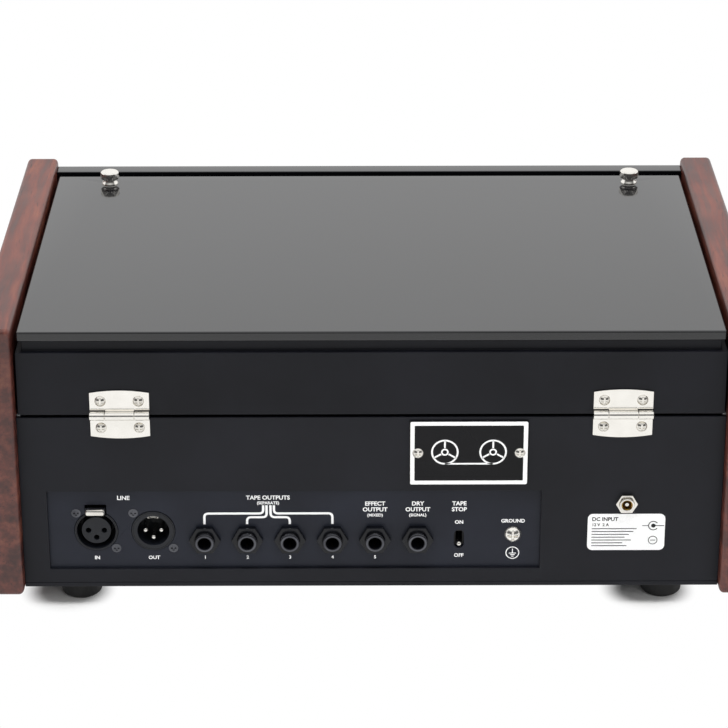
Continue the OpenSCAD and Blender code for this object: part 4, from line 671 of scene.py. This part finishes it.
def jack_contacts():
    """Spring contact that shows faintly at the back of each bore."""
    parts = []
    for place in jack_places:
        tongue = prism([(-0.6, 1.2), (0.6, 1.2), (0.9, 3.1), (-0.9, 3.1)], -14, -9)
        parts.append((round_edges(tongue, 0.2), place))
    settle(joined(parts), "jack_contacts", BRASS)


def male_pins():
    """Plated pins in the male socket, and a painted highlight: a strip of bright nickel on the shell's top
    inner edge at the keyway, where that edge catches the light.
    """
    radius, out, tip, depth = 1.23, 4.0, -1.0, 15.8
    profile = [(radius, -depth), (radius, tip - 0.2)]
    profile += [(radius * math.cos(a), tip - 0.2 + radius * math.sin(a))
                for a in (math.radians(22 * k) for k in range(1, 4))] + [(0, tip - 0.2 + radius)]
    place = on_plate(-XLR_LEFT + XLR_PITCH, XLR_UP)
    parts = []
    for turn in (0, 180, 270):
        a = math.radians(turn)
        parts.append((lathe(profile, 24), place @ at(out * math.cos(a), out * math.sin(a), 0)))
    settle(joined(parts), "male_socket_pins", SATIN_NICKEL)
    # painted highlight: a bright nickel strip standing for the light caught by the shell's top inner edge at
    # the keyway
    highlight_strip = stroke(arc(8.0, 71, 109, 10), 0.75)
    made = bmesh.ops.extrude_face_region(highlight_strip, geom=list(highlight_strip.faces))
    grown = [v for v in made["geom"] if isinstance(v, bmesh.types.BMVert)]
    bmesh.ops.translate(highlight_strip, verts=grown, vec=(0, 0, 0.14))
    settle(highlight_strip, "male_socket_painted_highlight", NICKEL, place @ at(0, 0, 0.38))


def socket_bezels():
    """Thin turned line round each three-pin socket."""
    parts = []
    for k in range(2):
        place = on_plate(-XLR_LEFT + k * XLR_PITCH, XLR_UP, 0.4)
        parts.append((lathe([(10.35, 0.0), (10.3, 0.12), (10.1, 0.12), (10.05, 0.0)], 64), place))
    settle(joined(parts), "socket_bezels", JACK)


def inlet_spring():
    """Brass lining of the power inlet."""
    place = on_rear(128.1, 44.5)
    profile = [(2.72, -7.0), (2.72, 3.0), (2.5, 3.15), (2.3, 3.0), (2.3, -7.0)]
    settle(lathe(profile, 32), "inlet_lining", BRASS, place)


# ---- Print on the rear ----


def rear_print():
    """White lettering and the routing lines over the jacks."""
    u0 = Z_FLOOR
    big, small, tiny = 2.3, 1.6, 2.0

    def mark(text, right, z, size, align="CENTER"):
        return words(text, size, on_plate(right, z - u0, PRINT_T), align)

    marks = [mark("LINE", -124.7, 60.4, big), mark("TAPE OUTPUTS", -52.0, 60.4, big),
             mark("(SEPARATE)", -52.0, 57.4, small), mark("EFFECT", 1.8, 56.9, big),
             mark("OUTPUT", 1.8, 53.6, big), mark("(MIXED)", 1.8, 50.4, small),
             mark("DRY", 23.3, 56.9, big), mark("OUTPUT", 23.3, 53.6, big),
             mark("(SIGNAL)", 23.3, 50.4, small), mark("TAPE", 44.2, 56.9, big),
             mark("STOP", 44.2, 53.6, big), mark("ON", 44.2, 46.4, tiny),
             mark("OFF", 44.2, 27.6, tiny), mark("GROUND", EARTH_RIGHT, 47.0, tiny),
             mark("IN", -XLR_LEFT, 26.7, tiny), mark("OUT", -XLR_LEFT + XLR_PITCH, 26.7, tiny)]
    for k in range(NUMBERED_JACKS):
        marks.append(mark(str(k + 1), -JACK_LEFT + k * JACK_PITCH, 26.7, 1.8))
    width, bend, top, high, low, foot = 1.2, 2.2, 56.0, 51.4, 49.3, 45.4
    for k, (start, level) in enumerate(((-54.5, high), (-52.8, low), (-50.8, low), (-49.1, high))):
        jack = -JACK_LEFT + k * JACK_PITCH
        path = [(start, top - u0), (start, level - u0), (jack, level - u0), (jack, foot - u0)]
        marks.append((stroke(path, width, bend), on_plate(0, 0, PRINT_T)))
    z_sign = 28.8 - u0
    marks.append((ring(3.25, 0.5), on_plate(EARTH_RIGHT, z_sign, PRINT_T)))
    marks.append((stroke([(0, 2.4), (0, -0.2)], 0.5), on_plate(EARTH_RIGHT, z_sign, PRINT_T)))
    for half, level in ((1.8, -0.2), (1.2, -1.1), (0.6, -2.0)):
        marks.append((stroke([(-half, level), (half, level)], 0.45), on_plate(EARTH_RIGHT, z_sign, PRINT_T)))
    printed("rear_print", marks, PRINT, Vector((0, 1, 0)))


def rating_label():
    """White film label with a plain power legend."""
    place = on_rear(128.4, 41.5 - Z_FLOOR)
    film = prism(rounded(39, 20.4, 2.7), 0, 0.15)
    settle(film, "power_label", LABEL, place)
    lift = place @ at(0, 0, 0.15 + PRINT_T)
    marks = [words("DC INPUT", 2.1, lift @ at(-17.4, 7.4, 0), "LEFT"),
             words("12 V  2 A", 1.6, lift @ at(-17.4, 4.2, 0), "LEFT")]
    for row, share in enumerate((0.84, 0.78, 0.70, 0.62, 0.74, 0.58, 0.66)):
        y = 1.9 - row * 1.6
        marks.append((stroke([(-17.4, y), (-17.4 + 27 * share, y)], 0.45), lift))
    sign = lift @ at(13.6, 3.6, 0)
    marks += [(ring(2.4, 0.45, 35, 325), sign), (ring(0.55, 1.1), sign),
              (stroke([(0.5, 0), (5.4, 0)], 0.4), sign), (stroke([(-5.6, 0), (-2.5, 0)], 0.4), sign)]
    marks += [(ring(2.2, 0.4), lift @ at(13.6, -4.6, 0)),
              (stroke([(12.3, -4.6), (14.9, -4.6)], 0.4), lift)]
    printed("power_label_print", marks, LABEL_INK, Vector((0, 1, 0)))


def badge_print():
    """White line round the badge, and a plain drawing of two reels with tape between them."""
    width, height, line, edge = 59.1, 35.2, 2.1, 0.35
    place = on_rear(48.5, 92 - 1.6 - 35.2 / 2, 1.2 + PRINT_T)
    outer = rounded(width - 2 * edge, height - 2 * edge, 0.8)
    inner = rounded(width - 2 * (edge + line), height - 2 * (edge + line), 0.5)
    frame_bm = bmesh.new()
    far = [frame_bm.verts.new((x, y, 0)) for x, y in outer]
    near = [frame_bm.verts.new((x, y, 0)) for x, y in inner]
    for k in range(len(far)):
        m = (k + 1) % len(far)
        frame_bm.faces.new((far[k], far[m], near[m], near[k]))
    marks = [(frame_bm, place)]
    reel, gap = 6.4, 12.0
    for side in (-1, 1):
        hub = place @ at(side * gap, 0.6, 0)
        marks += [(ring(reel, 0.9), hub), (ring(1.5, 0.8), hub)]
        for k in range(3):
            a = math.radians(90 + 120 * k)
            spoke = [(2.2 * math.cos(a), 2.2 * math.sin(a)), (reel * math.cos(a), reel * math.sin(a))]
            marks.append((stroke(spoke, 0.9), hub))
    marks.append((stroke([(-gap, 0.6 - reel), (gap, 0.6 - reel)], 0.9), place))
    printed("badge_print", marks, PRINT, Vector((0, 1, 0)))


for make in (jack_threads, jack_contacts, male_pins, socket_bezels, inlet_spring, rear_print,
             rating_label, badge_print):
    make()

# ---- Front ----

# Each knob's name, and its place to the right and up the slope
KNOB_SPOTS = (("input", -92, 34), ("bass", 8, 34), ("treble", 54, 34), ("rate", 8, 84),
              ("repeats", 54, 84), ("echo", 100, 84), ("reverb", 146, 84))
SELECTOR_SPOT = (-58, 84)


def front_print():
    """White legends, tick rings and numbers on the sloping panel."""
    marks = []
    level = PRINT_T

    def mark(text, u, v, size, align="CENTER"):
        marks.append(words(text, size, on_front(u, v, level), align))

    def dial(u, v, title, numbers, radius=13.6, turn=150):
        count = len(numbers)
        step = 2 * turn / (count - 1)
        tick = bmesh.new()
        corners = [(radius - 1.0, -0.22), (radius + 1.0, -0.22), (radius + 1.0, 0.22), (radius - 1.0, 0.22)]
        tick.faces.new([tick.verts.new((x, y, 0)) for x, y in corners])
        ticks = copies(tick, count, PRINT, start=90 + turn, step=-step)
        marks.append((ticks, on_front(u, v, level)))
        for k in range(0, count, 2 if count > 7 else 1):
            a = math.radians(90 + turn - k * step)
            far = radius + 3.4
            spot = on_front(u + far * math.cos(a), v + far * math.sin(a), level)
            marks.append(words(numbers[k], 1.8, spot))
        mark(title, u, v - 21.4, 2.4)

    ten = [str(k) for k in range(11)]
    for name, u, v in KNOB_SPOTS:
        dial(u, v, name.upper(), ten)
    dial(*SELECTOR_SPOT, "MODE", [str(k + 1) for k in range(7)], radius=17, turn=75)
    mark("IN 1", -MIC_LEFT, ROW_LOW - 13.5, 2.2)
    mark("IN 2", -MIC_LEFT + MIC_PITCH, ROW_LOW - 13.5, 2.2)
    mark("POWER", 134, ROW_LOW - 19, 2.4)
    mark("ON", 146, ROW_LOW + 12.5, 2.0)
    mark("OFF", 146, ROW_LOW - 14.2, 2.0)
    mark("LEVEL", -132, 55.8, 2.2)
    printed("front_print", marks, PRINT, Vector((0, -math.cos(LEAN), math.sin(LEAN))))


def meter_scale():
    """Black arc with ticks and numbers, and a red end, on the meter's card."""
    low, radius, face = -14.0, 22.5, -2.0 + PRINT_T
    hub = on_front(-132, ROW_TOP + low, face)
    marks = [(ring(radius, 0.35, 52, 128), hub)]
    red = [(ring(radius + 0.9, 1.1, 52, 76, 16), hub)]
    tick = bmesh.new()
    tick.faces.new([tick.verts.new((x, y, 0)) for x, y in
                    ((radius, -0.15), (radius + 2.2, -0.15), (radius + 2.2, 0.15), (radius, 0.15))])
    marks.append((copies(tick, 11, LABEL_INK, start=128, step=-7.6), hub))
    for k, text in enumerate(("20", "10", "5", "3", "0", "3")):
        a = math.radians(128 - 15.2 * k)
        far = radius + 4.6
        marks.append(words(text, 1.9, hub @ at(far * math.cos(a), far * math.sin(a), 0)))
    lift = Vector((0, -math.cos(LEAN), math.sin(LEAN)))
    printed("meter_scale", marks, LABEL_INK, lift)
    printed("meter_scale_red", red, RED_INK, lift)


def knob_lines():
    """White line let into the top and skirt of each knob."""
    spots = {"knob_" + name: (u, v) for name, u, v in KNOB_SPOTS}
    spots["selector_knob"] = SELECTOR_SPOT
    for node, spot in spots.items():
        place = on_front(*spot)
        bar = prism([(-0.6, 2.7), (0.6, 2.7), (0.6, 7.4), (-0.6, 7.4)], 16.12, 16.34)
        cap = lathe([(0.0, 16.62), (5.6, 16.7), (6.0, 16.62), (6.0, 16.5)], 40)
        settle(bar, node + "_line", PRINT, place, body=BODY_OF[node])
        settle(cap, node + "_cap", SATIN_NICKEL, place, body=BODY_OF[node])


# ---- Thumbscrews ----


def thumbscrews():
    """Knurled cap with a dished top, on a waisted foot that spreads to the panel."""
    cap_r, cap_h, foot_h, teeth = 5.15, 4.15, 2.85, 36
    for node in ("thumbscrew_left", "thumbscrew_right"):
        low, high = node_box(node)
        middle = (low + high) / 2
        base = high.z - cap_h - foot_h
        place = at(middle.x, middle.y, base)
        cap = bmesh.new()
        rings = []
        for height, shrink in ((foot_h, 0.75), (foot_h + 0.35, 0.0), (foot_h + cap_h - 0.75, 0.0),
                               (foot_h + cap_h - 0.3, 0.45)):
            ring_of = []
            for k in range(2 * teeth):
                radius = cap_r - shrink - (0.28 if k % 2 and shrink < 0.2 else 0.0)
                a = math.pi * k / teeth
                ring_of.append(cap.verts.new((radius * math.cos(a), radius * math.sin(a), height)))
            rings.append(ring_of)
        for lower, upper in zip(rings, rings[1:]):
            for k in range(2 * teeth):
                m = (k + 1) % (2 * teeth)
                cap.faces.new((lower[k], lower[m], upper[m], upper[k]))
        top = foot_h + cap_h
        inner = [cap.verts.new(((cap_r - 0.75) * math.cos(math.pi * k / teeth),
                                (cap_r - 0.75) * math.sin(math.pi * k / teeth), top - 0.02))
                 for k in range(2 * teeth)]
        for k in range(2 * teeth):
            m = (k + 1) % (2 * teeth)
            cap.faces.new((rings[-1][k], rings[-1][m], inner[m], inner[k]))
        cap.faces.new(inner)
        cap.faces.new(list(reversed(rings[0])))
        foot = lathe([(0, 0.0), (4.5, 0.0), (4.55, 0.25), (4.4, 0.6), (4.0, 1.25), (3.7, 1.9),
                      (3.6, 2.4), (3.8, foot_h + 0.05), (0, foot_h + 0.05)], 64)
        stud = lathe([(0, low.z - base), (1.6, low.z - base), (2.0, low.z - base + 0.5), (2.0, 0.05),
                      (0, 0.05)], 32)
        parts = [(cap, Matrix.Identity(4)), (foot, Matrix.Identity(4)), (stud, Matrix.Identity(4))]
        settle(joined(parts), node + "_turned", SATIN_NICKEL, place, body=BODY_OF[node],
               stands_for=(node,))


for make in (front_print, meter_scale, knob_lines, thumbscrews):
    make()

# ---- Camera, light and floor ----

camera = bpy.data.objects.new("camera", bpy.data.cameras.new("camera"))
bpy.context.collection.objects.link(camera)
camera.location = (0.006543, 1.401128, 0.691206)
camera.rotation_euler = [math.radians(a) for a in (66.14499, 0.07358, 179.83642)]
camera.data.lens = 138.678
camera.data.sensor_width = 36
bpy.context.scene.camera = camera


def soft_box(name, where, towards, width, depth, watts):
    lamp = bpy.data.lights.new(name, "AREA")
    lamp.shape = "RECTANGLE"
    lamp.size, lamp.size_y, lamp.energy = width, depth, watts
    holder = bpy.data.objects.new(name, lamp)
    bpy.context.collection.objects.link(holder)
    holder.location = where
    holder.visible_glossy = False
    aim = Vector(towards) - Vector(where)
    holder.rotation_euler = aim.to_track_quat("-Z", "Y").to_euler()


soft_box("overhead", (0.0, 0.15, 1.5), (0, 0, 0.1), 1.6, 1.2, 32)
soft_box("behind_the_camera", (-0.9, 1.8, 1.2), (0, 0, 0.08), 0.9, 0.9, 4)
soft_box("controls_side", (0.7, -1.8, 1.1), (0, 0, 0.08), 1.0, 1.0, 6)


def studio_world():
    """White to the camera, to gloss and through glass; a milder fill on everything else."""
    world = bpy.data.worlds.new("studio")
    world.use_nodes = True
    tree = world.node_tree
    tree.nodes.clear()
    rays = add(tree, "ShaderNodeLightPath").outputs
    seen = add(tree, "ShaderNodeMath", {0: rays["Is Camera Ray"], 1: rays["Is Glossy Ray"]},
               operation="MAXIMUM").outputs[0]
    seen = add(tree, "ShaderNodeMath", {0: seen, 1: rays["Is Transmission Ray"]},
               operation="MAXIMUM").outputs[0]
    strength = add(tree, "ShaderNodeMapRange", {"Value": seen, "To Min": 0.55, "To Max": 1.0}).outputs[0]
    # the unlit side of the studio, low behind the camera, which only gloss shows
    heading = add(tree, "ShaderNodeTexCoord").outputs["Generated"]
    facing = add(tree, "ShaderNodeSeparateXYZ", {0: heading}).outputs
    dark = None
    for value, start, end in ((facing["Y"], 0.1, 0.35), (facing["Z"], -0.04, 0.04), (facing["Z"], 0.66, 0.5)):
        part = add(tree, "ShaderNodeMapRange",
                   {"Value": value, "From Min": start, "From Max": end}).outputs[0]
        dark = part if dark is None else add(tree, "ShaderNodeMath", {0: dark, 1: part},
                                             operation="MULTIPLY").outputs[0]
    dark = add(tree, "ShaderNodeMath", {0: dark, 1: rays["Is Glossy Ray"]}, operation="MULTIPLY").outputs[0]
    kept = add(tree, "ShaderNodeMapRange", {"Value": dark, "To Min": 1.0, "To Max": 0.1}).outputs[0]
    strength = add(tree, "ShaderNodeMath", {0: strength, 1: kept}, operation="MULTIPLY").outputs[0]
    back = add(tree, "ShaderNodeBackground", {"Color": ink("#ffffff"), "Strength": strength})
    out = add(tree, "ShaderNodeOutputWorld")
    tree.links.new(back.outputs[0], out.inputs["Surface"])
    bpy.context.scene.world = world


def pale_floor():
    """Floor that keeps the soft shadow near the unit and runs out to white."""
    bm = bmesh.new()
    half = 6.0
    bm.faces.new([bm.verts.new((x, y, -0.0002)) for x, y in
                  ((-half, -half), (half, -half), (half, half), (-half, half))])
    mesh = bpy.data.meshes.new("studio_floor")
    bm.to_mesh(mesh)
    bm.free()
    floor = bpy.data.objects.new("studio_floor", mesh)
    bpy.context.collection.objects.link(floor)
    material, tree, shader, where = blank("painted_studio_floor", Roughness=0.7)
    shader.inputs["Specular IOR Level"].default_value = 0.2
    grain = noise(tree, where, 3, 2)
    link(tree, ramp(tree, grain, [(0.3, "#f1f1f0"), (0.7, "#f7f7f6")]), shader, "Base Color")
    rays = add(tree, "ShaderNodeLightPath").outputs

    def beyond(middle, half, start, end):
        """0 to 1 with the distance on the floor past a rectangle round the middle, mirrored about it."""
        off = add(tree, "ShaderNodeVectorMath", {0: where, 1: middle}, operation="SUBTRACT").outputs[0]
        off = add(tree, "ShaderNodeVectorMath", {0: off}, operation="ABSOLUTE").outputs[0]
        off = add(tree, "ShaderNodeVectorMath", {0: off, 1: half}, operation="SUBTRACT").outputs[0]
        return off, start, end

    def faded_past(off, start, end, clamp=True):
        if clamp:
            off = add(tree, "ShaderNodeVectorMath", {0: off, 1: (0, 0, 0)}, operation="MAXIMUM").outputs[0]
        off = add(tree, "ShaderNodeVectorMath", {0: off, 1: (1.0, 1.0, 0.0)}, operation="MULTIPLY").outputs[0]
        far = add(tree, "ShaderNodeVectorMath", {0: off}, operation="LENGTH").outputs["Value"]
        return add(tree, "ShaderNodeMapRange", {"Value": far, "From Min": start, "From Max": end},
                   interpolation_type="SMOOTHSTEP").outputs[0]

    unit = faded_past(*beyond((0, 0, 0), (0.15, 0.09, 0), 0.0, 0.025))
    feet = faded_past(*beyond((0.007, 0, 0), (0.149, 0.125, 0), 0.012, 0.026), clamp=False)
    faded = add(tree, "ShaderNodeMath", {0: unit, 1: feet}, operation="MULTIPLY").outputs[0]
    seen = add(tree, "ShaderNodeMath", {0: rays["Is Camera Ray"], 1: rays["Is Glossy Ray"]},
               operation="MAXIMUM").outputs[0]
    amount = add(tree, "ShaderNodeMath", {0: faded, 1: seen}, operation="MULTIPLY").outputs[0]
    white = add(tree, "ShaderNodeEmission", {"Color": ink("#ffffff"), "Strength": 1.0}).outputs[0]
    mixed = add(tree, "ShaderNodeMixShader", {0: amount, 1: shader.outputs[0], 2: white}).outputs[0]
    out = next(n for n in tree.nodes if n.type == "OUTPUT_MATERIAL")
    tree.links.new(mixed, out.inputs["Surface"])
    mesh.materials.append(material)


studio_world()
pale_floor()
bpy.context.scene.view_settings.view_transform = "Standard"
